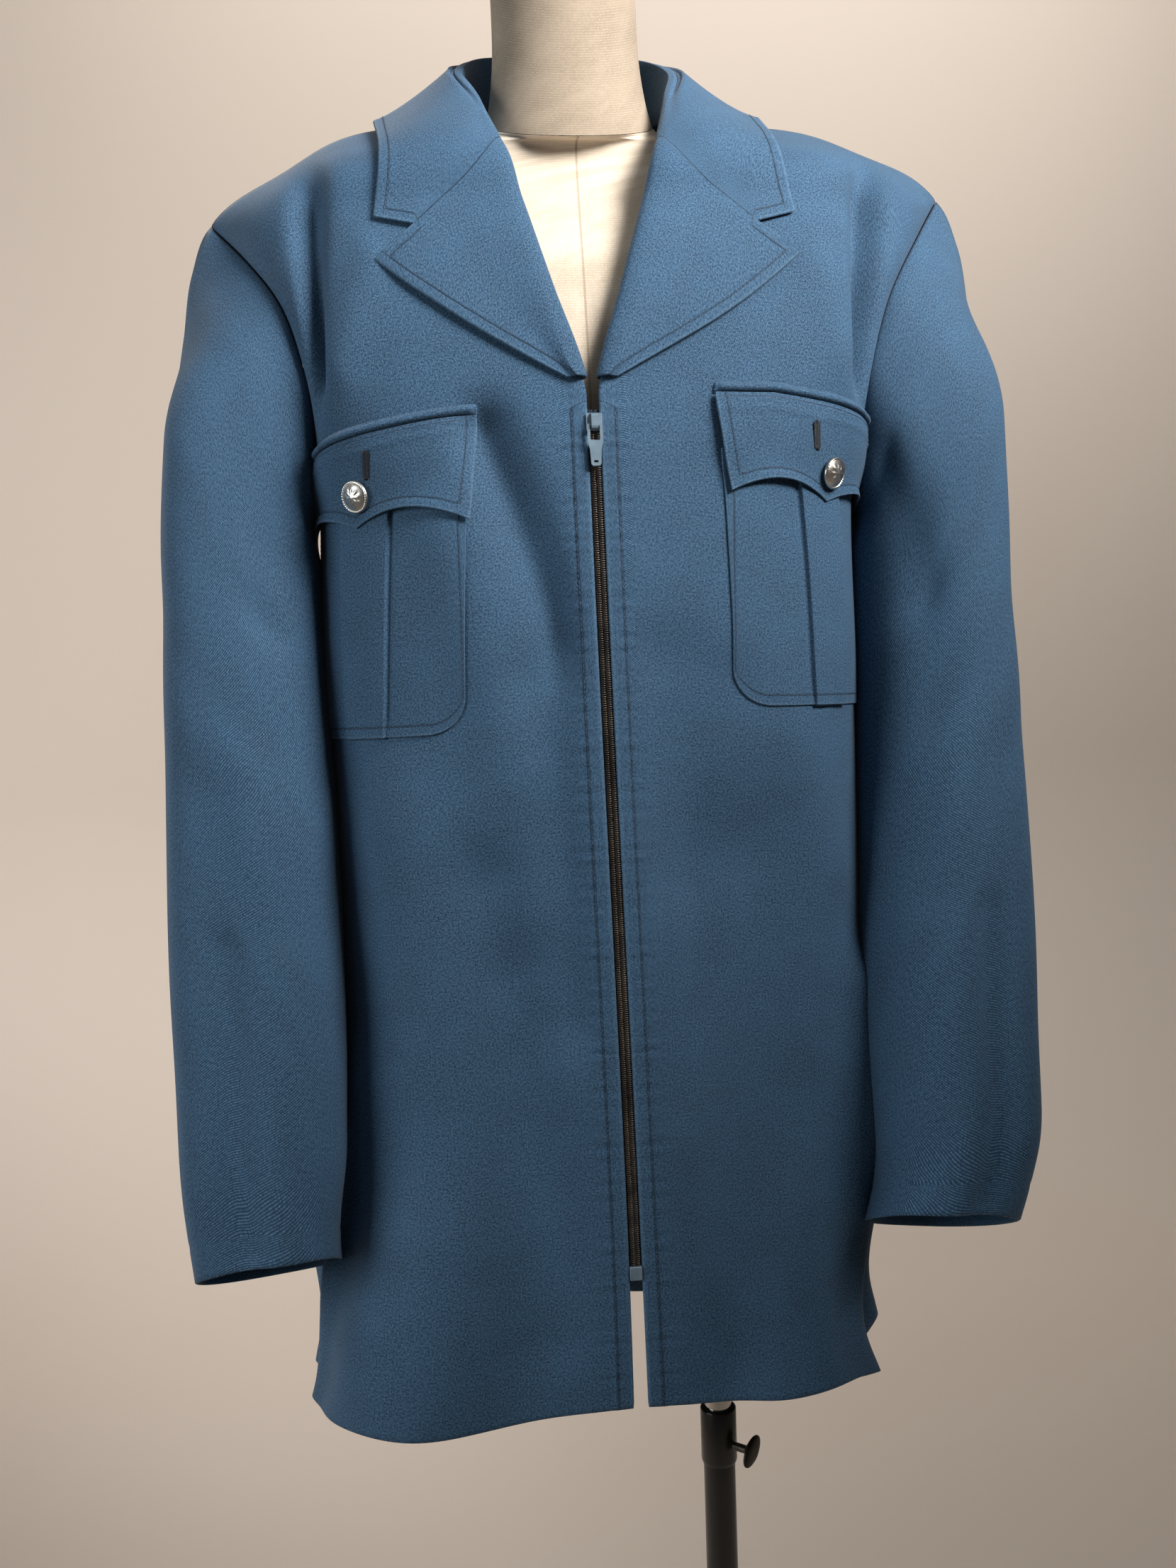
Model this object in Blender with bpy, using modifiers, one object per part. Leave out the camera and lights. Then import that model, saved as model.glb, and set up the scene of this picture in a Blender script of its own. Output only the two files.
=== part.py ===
"""Police uniform tunic, worn by a limbless dress form on a pole stand. Metres, +Z up.

The front faces -Y and the wearer's left is at +X. The garment's surfaces are functions of two
parameters: u runs round the body from the middle outwards, v runs from the hem (0) to the shoulder
seam (1). Every piece that lies on a panel is made from the panel's own points, moved out along its
normals. The stand's axis is the world Z axis, and the garment's middle plane stands beside it.
"""

import math

import bmesh
import bpy
import numpy as np
from mathutils import Matrix, Vector

# Driving dimensions
CLOTH = 0.0016            # wall of the tunic's cloth with its facing
SEAM_GAP = 0.0005         # between sewn neighbours
LAY_GAP = 0.0008          # between a panel and what lies on it
GARMENT_X = -0.075        # the garment's middle plane, measured from the pole's axis
UNDERARM_V = 0.68         # panel height where the side seam ends and the armhole starts
SHOULDER_BOW = 0.015      # rise of the padded shoulder above a straight seam
HEM_LIFT = 0.004          # the front hem bows up between zip and side
NECK_U = 0.30             # share of the back's top edge that is neckline

# The fronts, a row for each level
FRONT_ROWS = (
    # v, z_in, x_in, y_in, z_out, x_out, y_out, squareness
    (0.00, 0.622, 0.0050, -0.135, 0.592, 0.2240, 0.030, 3.30),
    (0.10, 0.700, 0.0045, -0.133, 0.684, 0.2040, 0.022, 2.00),
    (0.26, 0.830, 0.0042, -0.130, 0.820, 0.1870, 0.016, 2.05),
    (0.44, 0.975, 0.0042, -0.128, 0.965, 0.1770, 0.012, 2.30),
    (0.56, 1.075, 0.0042, -0.126, 1.065, 0.1730, 0.008, 2.50),
    (0.68, 1.170, 0.0042, -0.123, 1.165, 0.1695, 0.000, 2.60),
    (0.76, 1.228, 0.0045, -0.119, 1.215, 0.1685, -0.062, 2.50),
    (0.84, 1.288, 0.0225, -0.110, 1.265, 0.1785, -0.064, 2.30),
    (0.92, 1.342, 0.0385, -0.091, 1.312, 0.1990, -0.045, 2.00),
    (0.97, 1.382, 0.0500, -0.068, 1.340, 0.2200, -0.018, 1.70),
    (1.00, 1.416, 0.0660, -0.004, 1.357, 0.2375, 0.010, 1.35),
)
# The back, a row for each level
BACK_ROWS = (
    # v, z_mid, y_mid, z_out, x_out, y_out, squareness
    (0.00, 0.566, 0.165, 0.592, 0.2240, 0.030, 2.30),
    (0.10, 0.672, 0.158, 0.684, 0.2040, 0.022, 2.30),
    (0.26, 0.818, 0.148, 0.820, 0.1870, 0.016, 2.30),
    (0.44, 0.970, 0.139, 0.965, 0.1770, 0.012, 2.30),
    (0.56, 1.070, 0.139, 1.065, 0.1730, 0.008, 2.40),
    (0.68, 1.175, 0.143, 1.165, 0.1695, 0.000, 2.50),
    (0.78, 1.260, 0.146, 1.220, 0.1720, 0.062, 2.40),
    (0.88, 1.345, 0.135, 1.285, 0.1880, 0.074, 2.10),
    (0.95, 1.398, 0.112, 1.332, 0.2130, 0.052, 1.80),
    (1.00, 1.436, 0.078, 1.357, 0.2375, 0.010, 1.35),
)
# The side seam and the two halves of the armhole
SIDE_SEAM = (
    # v, z, x, y
    (0.00, 0.592, 0.2240, 0.030),
    (0.10, 0.684, 0.2040, 0.022),
    (0.26, 0.820, 0.1870, 0.016),
    (0.44, 0.965, 0.1770, 0.012),
    (0.56, 1.065, 0.1730, 0.008),
    (0.68, 1.165, 0.1695, 0.000),
)
ARMHOLE_FRONT = (
    # v, z, x, y
    (0.68, 1.165, 0.1695, 0.000),
    (0.71, 1.176, 0.1685, -0.036),
    (0.76, 1.215, 0.1685, -0.062),
    (0.84, 1.265, 0.1785, -0.064),
    (0.92, 1.312, 0.1990, -0.045),
    (1.00, 1.357, 0.2375, 0.010),
)
ARMHOLE_BACK = (
    # v, z, x, y
    (0.68, 1.165, 0.1695, 0.000),
    (0.72, 1.178, 0.1690, 0.038),
    (0.78, 1.220, 0.1720, 0.062),
    (0.88, 1.285, 0.1880, 0.074),
    (0.95, 1.332, 0.2130, 0.052),
    (1.00, 1.357, 0.2375, 0.010),
)
# The sleeves, a row for each ring from the shoulder to the cuff
SLEEVE_ROWS = (
    # s, x_outer, z_outer, x_inner, z_inner, y_middle, half_depth, front_lift
    (0.00, 0.2375, 1.357, 0.1695, 1.165, 0.003, 0.068, 0.000),
    (0.07, 0.2545, 1.316, 0.1750, 1.150, -0.001, 0.074, 0.000),
    (0.15, 0.2640, 1.265, 0.1775, 1.130, -0.004, 0.075, 0.000),
    (0.27, 0.2705, 1.190, 0.1780, 1.092, -0.010, 0.074, 0.000),
    (0.41, 0.2740, 1.090, 0.1780, 1.022, -0.020, 0.071, 0.002),
    (0.56, 0.2760, 0.980, 0.1770, 0.942, -0.035, 0.064, 0.005),
    (0.72, 0.2750, 0.870, 0.1760, 0.852, -0.052, 0.056, 0.010),
    (0.87, 0.2700, 0.770, 0.1745, 0.768, -0.068, 0.050, 0.015),
    (1.00, 0.2640, 0.698, 0.1735, 0.708, -0.082, 0.045, 0.020),
)
SLEEVE_SET_IN = 0.22      # length share over which the sleeve leaves the armhole's shape

# The largest folds: straight troughs and ridges in the panel's own u and v
PANEL_WIDTH = 0.30
PANEL_HEIGHT = 0.80
FOLDS_RIGHT = (
    # u0, v0, u1, v1, radius, height
    (0.23, 0.730, 0.05, 0.550, 0.020, -0.006),
    (0.52, 0.970, 0.76, 0.815, 0.016, -0.006),
    (0.40, -0.04, 0.38, 0.120, 0.055, 0.020),
    (0.16, 0.020, 0.20, 0.330, 0.028, -0.005),
)
FOLDS_LEFT = (
    # u0, v0, u1, v1, radius, height
    (0.56, 0.970, 0.72, 0.800, 0.016, -0.006),
    (0.44, -0.04, 0.42, 0.120, 0.050, 0.015),
    (0.20, 0.300, 0.12, 0.550, 0.024, -0.004),
    (0.20, 0.020, 0.22, 0.240, 0.028, -0.004),
)
FOLDS_BACK = (
    # u0, v0, u1, v1, radius, height
    (0.50, 0.930, 0.62, 0.740, 0.020, -0.006),
    (0.45, -0.04, 0.40, 0.200, 0.040, 0.008),
    (0.18, -0.04, 0.16, 0.250, 0.035, -0.006),
)
# Sleeve folds in turns round the sleeve and shares of its length
SLEEVE_GIRTH = 0.38
SLEEVE_LENGTH = 0.66
SLEEVE_FOLDS = (
    # turn0, s0, turn1, s1, radius, height
    (0.22, 0.66, 0.24, 0.98, 0.012, -0.004),
    (0.36, 0.08, 0.33, 0.30, 0.016, -0.005),
    (0.74, 0.10, 0.70, 0.34, 0.018, -0.005),
)

# Breast pocket, flap and welt on the front panel
POCKET = {"u": (0.268, 0.850), "v": (0.519, 0.705), "corner_u": 0.10, "corner_v": 0.030,
          "pleat": (0.470, 0.640), "pleat_rise": 0.0014, "wall": 0.0012}
FLAP = {"u": (0.252, 0.812), "v_top": 0.741, "point_u": 0.540, "depth_v": 0.074, "scallop_v": 0.013,
        "wall": 0.0014}
WELT = {"v": (0.7422, 0.7500), "wall": 0.0030}
LEFT_POCKET_RAISE = 0.009     # the pocket at the wearer's left sits this much of v higher
BUTTON_U, BUTTON_DROP = 0.540, 0.052
BUTTON_RADIUS, BUTTON_GAP = 0.0095, 0.0012

# Lapels and collar
LAPEL_START_V, GORGE_V = 0.770, 0.966
LAPEL_TIP = (0.400, 0.877)
LAPEL_START_U = 0.024     # where the roll ends and the lapel lies
GORGE_SAG = 0.004
COLLAR_CORNER = (0.363, 0.919)
TURN_CLOTH = 0.0018       # wall of the turned lapel and collar
ROLL_LIFT = 0.0030        # how far the lapel stands off at its soft roll
COLLAR_FOLD = (
    # c, x, y, z of the fold from the middle of the back (0) to the gorge (1)
    (0.00, 0.0000, 0.0840, 1.480),
    (0.25, 0.0500, 0.0600, 1.473),
    (0.50, 0.0680, 0.0000, 1.446),
    (0.75, 0.0590, -0.0395, 1.418),
    (1.00, 0.0485, -0.0690, 1.384),
)
COLLAR_EDGE_BACK = (
    # c, u, v on the back panel
    (0.00, 0.000, 0.960),
    (0.25, 0.280, 0.968),
    (0.50, 0.496, 1.000),
)
COLLAR_EDGE_FRONT = (
    # c, u, v on the front panel
    (0.50, 0.280, 1.000),
    (0.75, 0.320, 0.957),
    (1.00, 0.363, 0.919),
)
FOLD_RADIUS = 0.0036
STAND_CLEAR = 0.0016      # more room for the collar's stand inside the neckline
COLLAR_LIFT = 0.0030      # how far the fall stands off

# Zip
CHAIN_WIDTH, CHAIN_DEPTH = 0.0064, 0.0024
TAPE_REACH, TAPE_WALL = 0.05, 0.0005     # the tape's reach in u, and its wall
ZIP_BOTTOM_V, ZIP_TOP_V = 0.106, 0.744

# Dress form: rings from the hips up to the tilted neck seam, then the neck
FORM_ROWS = (
    # z, half_width, y_front, y_back, tilt, squareness
    (0.735, 0.148, -0.094, 0.112, 0.00, 2.3),
    (0.800, 0.149, -0.098, 0.114, 0.00, 2.3),
    (0.960, 0.128, -0.092, 0.094, 0.00, 2.2),
    (1.100, 0.136, -0.104, 0.106, 0.00, 2.3),
    (1.210, 0.146, -0.109, 0.118, 0.00, 2.4),
    (1.290, 0.154, -0.097, 0.118, 0.00, 2.3),
    (1.335, 0.158, -0.077, 0.096, 0.02, 2.1),
    (1.365, 0.156, -0.062, 0.072, 0.06, 1.9),
    (1.386, 0.134, -0.056, 0.055, 0.14, 1.8),
    (1.398, 0.094, -0.058, 0.050, 0.24, 1.8),
    (1.406, 0.061, -0.065, 0.047, 0.34, 1.9),
    (1.411, 0.0530, -0.069, 0.046, 0.39, 2.0),
)
NECK_ROWS = (
    # z, half_width, y_front, y_back, tilt, squareness
    (1.4114, 0.0528, -0.0688, 0.0458, 0.39, 2.0),
    (1.428, 0.0490, -0.0590, 0.0440, 0.30, 2.0),
    (1.455, 0.0462, -0.0510, 0.0420, 0.14, 2.0),
    (1.500, 0.0460, -0.0480, 0.0420, 0.04, 2.0),
    (1.560, 0.0465, -0.0480, 0.0430, 0.00, 2.0),
    (1.575, 0.0440, -0.0450, 0.0400, 0.00, 2.0),
    (1.580, 0.0380, -0.0390, 0.0340, 0.00, 2.0),
)

# Stand, on the world Z axis
BASE_RADIUS, BASE_HEIGHT = 0.170, 0.012
POLE_RADIUS, POLE_BORE = 0.0110, 0.0095
COLLAR_RADIUS, COLLAR_TOP, COLLAR_LENGTH = 0.0125, 0.548, 0.040
TUBE_RADIUS, TUBE_BORE = 0.0094, 0.0080
TUBE_BOTTOM, TUBE_TOP = 0.300, 0.7290
TUBE_DROP = 0.120         # how far the tube slides down
SOCKET_RADIUS, SOCKET_BOTTOM = 0.016, 0.690
SCREW_Z = 0.522
SCREW_TURN = math.radians(48)     # from the front towards the wearer's left
ROUND = 32

COLOURS = {
    # name: colour, roughness, metallic
    "cloth": ((0.036, 0.070, 0.120), 0.85, 0.0),
    "zip_tape": ((0.020, 0.040, 0.070), 0.85, 0.0),
    "zip_coil": ((0.060, 0.050, 0.040), 0.45, 0.6),
    "zip_paint": ((0.180, 0.270, 0.340), 0.35, 0.5),
    "button": ((0.750, 0.730, 0.700), 0.25, 1.0),
    "linen": ((0.800, 0.700, 0.600), 0.90, 0.0),
    "neck_linen": ((0.560, 0.480, 0.400), 0.90, 0.0),
    "chrome": ((0.800, 0.800, 0.800), 0.10, 1.0),
    "black_paint": ((0.010, 0.009, 0.008), 0.40, 0.0),
    "dark_steel": ((0.080, 0.070, 0.060), 0.35, 0.9),
}


# Curves and surfaces

def flow(rows, t):
    """Columns of a table read at t: cubic Hermite, each slope weighed from its two neighbours."""
    table = np.asarray(rows, float)
    x, y = table[:, 0], table[:, 1:]
    step = np.diff(x)[:, None]
    rise = np.diff(y, axis=0) / step
    inner = (rise[:-1] * step[1:] + rise[1:] * step[:-1]) / (step[:-1] + step[1:])
    slope = np.concatenate([rise[:1], inner, rise[-1:]])
    t = np.asarray(t, float)
    k = np.clip(np.searchsorted(x, t, side="right") - 1, 0, len(x) - 2)
    h = step[k]
    w = ((t - x[k]) / h[..., 0])[..., None]
    value = (y[k] * (1 + 2 * w) * (1 - w) ** 2 + y[k + 1] * w ** 2 * (3 - 2 * w)
             + slope[k] * h * w * (1 - w) ** 2 + slope[k + 1] * h * w ** 2 * (w - 1))
    return np.moveaxis(value, -1, 0)


def ramp(x, start, end):
    """Smooth step from 0 at start to 1 at end."""
    t = np.clip((x - start) / (end - start), 0.0, 1.0)
    return t * t * (3 - 2 * t)


def quarter(u, n):
    """Sine and cosine of a superellipse's quarter turn: |s|^n + |c|^n = 1."""
    angle = u * np.pi / 2
    s, c = np.sin(angle), np.cos(angle)
    r = (np.abs(s) ** n + np.abs(c) ** n) ** (1 / n)
    return s / r, c / r


def unit(a):
    return a / np.maximum(np.linalg.norm(a, axis=-1, keepdims=True), 1e-12)


def normals(surface, u, v, *more):
    """Outward normals of a surface by central differences in u and v."""
    e = 1e-4
    du = surface(u + e, v, *more) - surface(u - e, v, *more)
    dv = surface(u, v + e, *more) - surface(u, v - e, *more)
    return unit(np.cross(du, dv))


def creases(u, v, rows, width, height):
    """Sum of soft troughs and ridges: each h * exp(-(d / r)^2), d the distance to a straight line."""
    p = np.stack([u * width, v * height], -1)
    total = np.zeros(np.shape(u))
    for u0, v0, u1, v1, radius, rise in rows:
        a = np.array([u0 * width, v0 * height])
        b = np.array([u1 * width, v1 * height])
        along = np.clip((p - a) @ (b - a) / ((b - a) @ (b - a)), 0, 1)
        d = np.linalg.norm(p - a - along[..., None] * (b - a), axis=-1)
        total = total + rise * np.exp(-(d / radius) ** 2)
    return total


def outer_edge(v, armhole):
    """The panel's outer edge: the side seam up to the underarm, then one half of the armhole."""
    z, x, y = np.where(v < UNDERARM_V, flow(SIDE_SEAM, v), flow(armhole, v))
    return np.stack([x, y, z], -1)


def front_base(u, v):
    """Left front without folds: x = x_in + (x_out - x_in) s(u), y = y_out + (y_in - y_out) c(u)."""
    z_in, x_in, y_in, z_out, x_out, y_out, n = flow(FRONT_ROWS, v)
    x_in = np.maximum(x_in, FRONT_ROWS[3][2])
    s, c = quarter(u, n)
    inside = np.clip(u, 0, 1)
    bow = SHOULDER_BOW * ramp(v, 0.8, 1.0) * np.sin(np.pi * inside ** 1.25)
    bow = bow + HEM_LIFT * np.sin(np.pi * np.clip(u / 0.9, 0, 1)) * (1 - ramp(v, 0.0, 0.12))
    x = x_in + (x_out - x_in) * s
    y = y_out + (y_in - y_out) * c
    z = z_in + (z_out - z_in) * u + bow
    edge = outer_edge(v, ARMHOLE_FRONT) - np.stack([x_out, y_out, z_out], -1)
    return np.stack([x, y, z], -1) + edge * inside[..., None] ** 6


def back_section(u, v):
    """Left half of the back's section at a level, from the middle to the outer edge."""
    z_mid, y_mid, z_out, x_out, y_out, n = flow(BACK_ROWS, v)
    s, c = quarter(u, n)
    inside = np.clip(np.abs(u), 0, 1)
    section = np.stack([x_out * s, y_out + (y_mid - y_out) * c, z_mid + (z_out - z_mid) * inside ** 2], -1)
    edge = outer_edge(v, ARMHOLE_BACK) - np.stack([x_out, y_out, z_out], -1)
    return section + edge * inside[..., None] ** 6


def back_top(u):
    """Neckline as a quarter ellipse up to NECK_U, then the shoulder seam of the front."""
    a = np.clip(u / NECK_U, -1, 1) * np.pi / 2
    z_mid, y_mid = BACK_ROWS[-1][1:3]
    z_in, x_in, y_in = FRONT_ROWS[-1][1:4]
    s, c = np.sin(a), np.cos(a)
    neck = np.stack([x_in * s, y_in + (y_mid - y_in) * c, z_in + (z_mid - z_in) * c], -1)
    t = np.clip((u - NECK_U) / (1 - NECK_U), 0, 1)
    seam = front_base(t, np.ones(np.shape(t)))
    return np.where((u > NECK_U)[..., None], seam, neck)


def back_base(u, v):
    """Left half of the back without folds: sections, drawn up to the neckline and shoulder seam."""
    u, v = np.broadcast_arrays(u, v)
    top = (np.clip((v - 0.80) / 0.20, 0, 1) ** 10)[..., None]
    return back_section(u, v) + (back_top(u) - back_section(u, np.ones(np.shape(u)))) * top


def outward(base, u, v):
    """Normals of a panel that point out of the body."""
    return normals(base, u, v) * (1 if base is front_base else -1)


def folded(base, folds, u, v):
    """A panel with its folds, which fade out towards its seams and the zip."""
    fade = ramp(1 - u, 0.0, 0.10) * ramp(1 - v, 0.0, 0.06)
    if base is front_base:
        fade = fade * ramp(u, 0.0, 0.10)
    rise = creases(u, v, folds, PANEL_WIDTH, PANEL_HEIGHT) * fade
    return base(u, v) + outward(base, u, v) * rise[..., None]


def settle(points):
    """How the worn tunic hangs askew: sleeves and left shoulder out and up, the zip slightly slanted."""
    x, y, z = points[..., 0], points[..., 1], points[..., 2]
    wide = np.abs(x)
    out = 0.009 * ramp(wide, 0.10, 0.22) * (0.4 + 0.6 * ramp(z, 1.10, 1.35))
    near_zip = (1 - ramp(wide, 0.02, 0.10)) * (1 - ramp(z, 1.28, 1.42))
    lean = (0.007 * ramp(1.22 - z, 0.0, 0.60) - 0.003) * near_zip
    rise = (0.003 + 0.027 * x) * ramp(z, 1.10, 1.33) * ramp(wide, 0.08, 0.22)
    low_left = ramp(0.78 - z, 0.0, 0.16) * ramp(x, 0.02, 0.16) * ramp(0.30 - x, 0, 0.06)
    sway = -0.036 * ramp(0.10 - y, 0.0, 0.20) * low_left
    return np.stack([x + out + lean + sway, y, z + rise], -1)


def sleeve_ring(turn, s):
    """Ring without folds: an ellipse from the outer point (turn 0) by the front, inside and back."""
    x_outer, z_outer, x_inner, z_inner, y_mid, half_depth, lift = flow(SLEEVE_ROWS, s)
    a = turn * 2 * np.pi
    x = (x_outer + x_inner) / 2 + (x_outer - x_inner) / 2 * np.cos(a)
    z = (z_outer + z_inner) / 2 + (z_outer - z_inner) / 2 * np.cos(a) + lift * np.sin(a)
    return np.stack([x, y_mid - half_depth * np.sin(a), z], -1)


def armhole(turn):
    """The armhole's closed line by arc length: turn 0 at the shoulder, 0.5 at the underarm."""
    v = np.linspace(UNDERARM_V, 1.0, 200)
    halves = []
    for rows in (ARMHOLE_FRONT, ARMHOLE_BACK):
        line = outer_edge(v + 1e-9, rows)
        run = np.concatenate([[0], np.cumsum(np.linalg.norm(np.diff(line, axis=0), axis=1))])
        halves.append((line, run / run[-1]))
    turn = np.mod(turn, 1.0)
    share = np.where(turn <= 0.5, 1 - 2 * turn, 2 * turn - 1)
    front, back = (np.stack([np.interp(share, run, line[:, k]) for k in range(3)], -1)
                   for line, run in halves)
    return np.where((turn <= 0.5)[..., None], front, back)


def armhole_turns(v, rows, front):
    """The turn of each armhole point of a panel, so that sleeve and panel share their points."""
    fine = np.linspace(UNDERARM_V, 1.0, 200)
    line = outer_edge(fine + 1e-9, rows)
    run = np.concatenate([[0], np.cumsum(np.linalg.norm(np.diff(line, axis=0), axis=1))])
    share = np.interp(v, fine, run / run[-1])
    return (1 - share) / 2 if front else (1 + share) / 2


def sleeve(turn, s, lift=0.0):
    """The left sleeve: its rings, drawn to the armhole's line at the top, with its folds."""
    def base(t, q):
        set_in = (1 - ramp(q, 0.0, SLEEVE_SET_IN))[..., None]
        return sleeve_ring(t, q) + (armhole(t) - sleeve_ring(t, np.zeros(np.shape(q)))) * set_in

    fold = creases(turn, s, SLEEVE_FOLDS, SLEEVE_GIRTH, SLEEVE_LENGTH) * ramp(s, 0.0, 0.08)
    return base(turn, s) + normals(base, turn, s) * np.asarray(lift + fold)[..., None]


# Meshes

def collection(name):
    made = bpy.data.collections.new(name)
    bpy.context.scene.collection.children.link(made)
    return made


def material(kind):
    """A Principled material of the kind, made once."""
    made = bpy.data.materials.get(kind)
    if made is None:
        colour, roughness, metallic = COLOURS[kind]
        made = bpy.data.materials.new(kind)
        made.use_nodes = True
        shader = made.node_tree.nodes["Principled BSDF"]
        shader.inputs["Base Color"].default_value = (*colour, 1.0)
        shader.inputs["Roughness"].default_value = roughness
        shader.inputs["Metallic"].default_value = metallic
    return made


def add_mesh(name, mesh, kind, parent=None, smooth=40):
    """Links a mesh as a part with its material."""
    obj = bpy.data.objects.new(name, mesh)
    parts.objects.link(obj)
    mesh.materials.clear()
    mesh.materials.append(material(kind))
    mesh.shade_smooth()
    mesh.set_sharp_from_angle(angle=math.radians(smooth))
    obj.parent = parent
    return obj


def closed_wall(name, outer, inner, kind, ring=False, hang=True):
    """One closed wall between two grids of points (rows, columns, xyz); ring joins the columns round."""
    if hang:
        outer, inner = settle(outer), settle(inner)
    rows, columns = outer.shape[:2]
    corner = np.stack([outer[0, 1] - outer[0, 0], outer[1, 0] - outer[0, 0], outer[0, 0] - inner[0, 0]])
    if np.linalg.det(corner) < 0:
        outer, inner = outer[:, ::-1], inner[:, ::-1]
    points = np.concatenate([outer.reshape(-1, 3), inner.reshape(-1, 3)])
    under = rows * columns
    faces = []
    for r in range(rows - 1):
        for c in range(columns if ring else columns - 1):
            a, b = r * columns + c, r * columns + (c + 1) % columns
            faces.append((a, b, b + columns, a + columns))
            faces.append((a + under, a + columns + under, b + columns + under, b + under))
    for c in range(columns if ring else columns - 1):
        a, b = c, (c + 1) % columns
        faces.append((a, a + under, b + under, b))
        a, b = a + (rows - 1) * columns, b + (rows - 1) * columns
        faces.append((a, b, b + under, a + under))
    if not ring:
        for r in range(rows - 1):
            a, b = r * columns, (r + 1) * columns
            faces.append((a, b, b + under, a + under))
            a, b = a + columns - 1, b + columns - 1
            faces.append((a, a + under, b + under, b))
    return solid(name, points, faces, kind, garment)


def solid(name, points, faces, kind, parent=None):
    """A closed body from its points and faces."""
    mesh = bpy.data.meshes.new(name)
    mesh.from_pydata(points.tolist(), [], faces)
    bm = bmesh.new()
    bm.from_mesh(mesh)
    bmesh.ops.triangulate(bm, faces=bm.faces, quad_method="SHORT_EDGE")
    bmesh.ops.recalc_face_normals(bm, faces=bm.faces)
    bm.to_mesh(mesh)
    bm.free()
    return add_mesh(name, mesh, kind, parent)


def inset(grids, edges, gap=SEAM_GAP / 2):
    """Moves the named edges of the grids inwards along the surface by the gap."""
    ends = {"first": (0, 1, 0), "last": (-1, -2, 0), "out": (-1, -2, 1)}
    for grid in grids:
        for edge in edges:
            at, beside, axis = ends[edge]
            view = grid if axis == 0 else grid.swapaxes(0, 1)
            view[at] += unit(view[beside] - view[at]) * gap
    return grids


def seam_normals(own, other):
    """Shared wall direction at a smooth seam; each keeps its own where the two meet in a valley."""
    near = ramp(np.sum(own * other, -1), -0.3, 0.5)[..., None]
    return unit(own * (1 - near) + (own + other) / 2 * near)


def lay(panel, u, v, lift):
    """Points at a height over a panel's own facets: u and v are read between its grid's lines."""
    outer, direction = PANELS[panel]
    u, v = np.broadcast_arrays(np.asarray(u, float), np.asarray(v, float))
    c = np.clip(np.searchsorted(U_FRONT, u, side="right") - 1, 0, len(U_FRONT) - 2)
    r = np.clip(np.searchsorted(V_BODY, v, side="right") - 1, 0, len(V_BODY) - 2)
    fc = ((u - U_FRONT[c]) / (U_FRONT[c + 1] - U_FRONT[c]))[..., None]
    fr = ((v - V_BODY[r]) / (V_BODY[r + 1] - V_BODY[r]))[..., None]

    def read(grid):
        low = grid[r, c] * (1 - fc) + grid[r, c + 1] * fc
        high = grid[r + 1, c] * (1 - fc) + grid[r + 1, c + 1] * fc
        return low * (1 - fr) + high * fr

    return read(outer) + unit(read(direction)) * np.asarray(lift)[..., None]


def turned(name, profile, kind, parent=None, segments=ROUND):
    """A turned piece: the profile of (radius, height) points, down the outer side, screwed round Z."""
    mesh = bpy.data.meshes.new(name)
    points = [(radius, 0.0, height) for radius, height in profile]
    count = len(points)
    hollow = profile[0][0] > 0
    edges = [(k, (k + 1) % count) for k in range(count if hollow else count - 1)]
    mesh.from_pydata(points, edges, [])
    obj = add_mesh(name, mesh, kind, parent)
    screw = obj.modifiers.new("turn", "SCREW")
    screw.steps = screw.render_steps = segments
    screw.use_merge_vertices = True
    screw.merge_threshold = 0.00001
    screw.use_smooth_shade = True
    return obj


def box(name, size, centre, kind, parent=None, bevel=0.0):
    """A box with softened edges."""
    mesh = bpy.data.meshes.new(name)
    bm = bmesh.new()
    bmesh.ops.create_cube(bm, size=1.0, matrix=Matrix.Diagonal((*size, 1.0)))
    bm.to_mesh(mesh)
    bm.free()
    obj = add_mesh(name, mesh, kind, parent)
    obj.location = centre
    if bevel:
        soft = obj.modifiers.new("edges", "BEVEL")
        soft.width = bevel
        soft.segments = 1
    return obj


def combine(target, tool, operation):
    """Joins a hidden tool to the target, or cuts it out."""
    for holder in list(tool.users_collection):
        holder.objects.unlink(tool)
    cutters.objects.link(tool)
    tool.hide_render = True
    tool.display_type = "WIRE"
    step = target.modifiers.new(operation.lower(), "BOOLEAN")
    step.operation = operation
    step.object = tool


def loft(name, rows, kind, sides, steps):
    """Closed body through superellipse rings, each with its own width, depths and tilt."""
    k = np.linspace(0, len(rows) - 1, (len(rows) - 1) * steps + 1)
    table = [(float(index), *row) for index, row in enumerate(rows)]
    z, half, y_front, y_back, tilt, n = (column[:, None] for column in flow(table, k))
    turn = np.linspace(0, 2 * np.pi, sides, endpoint=False)[None]
    s, c = np.sin(turn), np.cos(turn)
    r = (np.abs(s) ** n + np.abs(c) ** n) ** (1 / n)
    x = half * c / r
    y = (y_front + y_back) / 2 + (y_back - y_front) / 2 * s / r
    ring = np.stack([x, y, z + tilt * y], -1)
    if name == "form_torso":
        ring = settle(ring)
    count = len(k)
    faces = []
    for i in range(count - 1):
        for j in range(sides):
            a, b = i * sides + j, i * sides + (j + 1) % sides
            faces.append((a, b, b + sides, a + sides))
    faces.append(tuple(range(sides - 1, -1, -1)))
    faces.append(tuple(range((count - 1) * sides, count * sides)))
    return solid(name, ring.reshape(-1, 3), faces, kind, garment)


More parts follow.
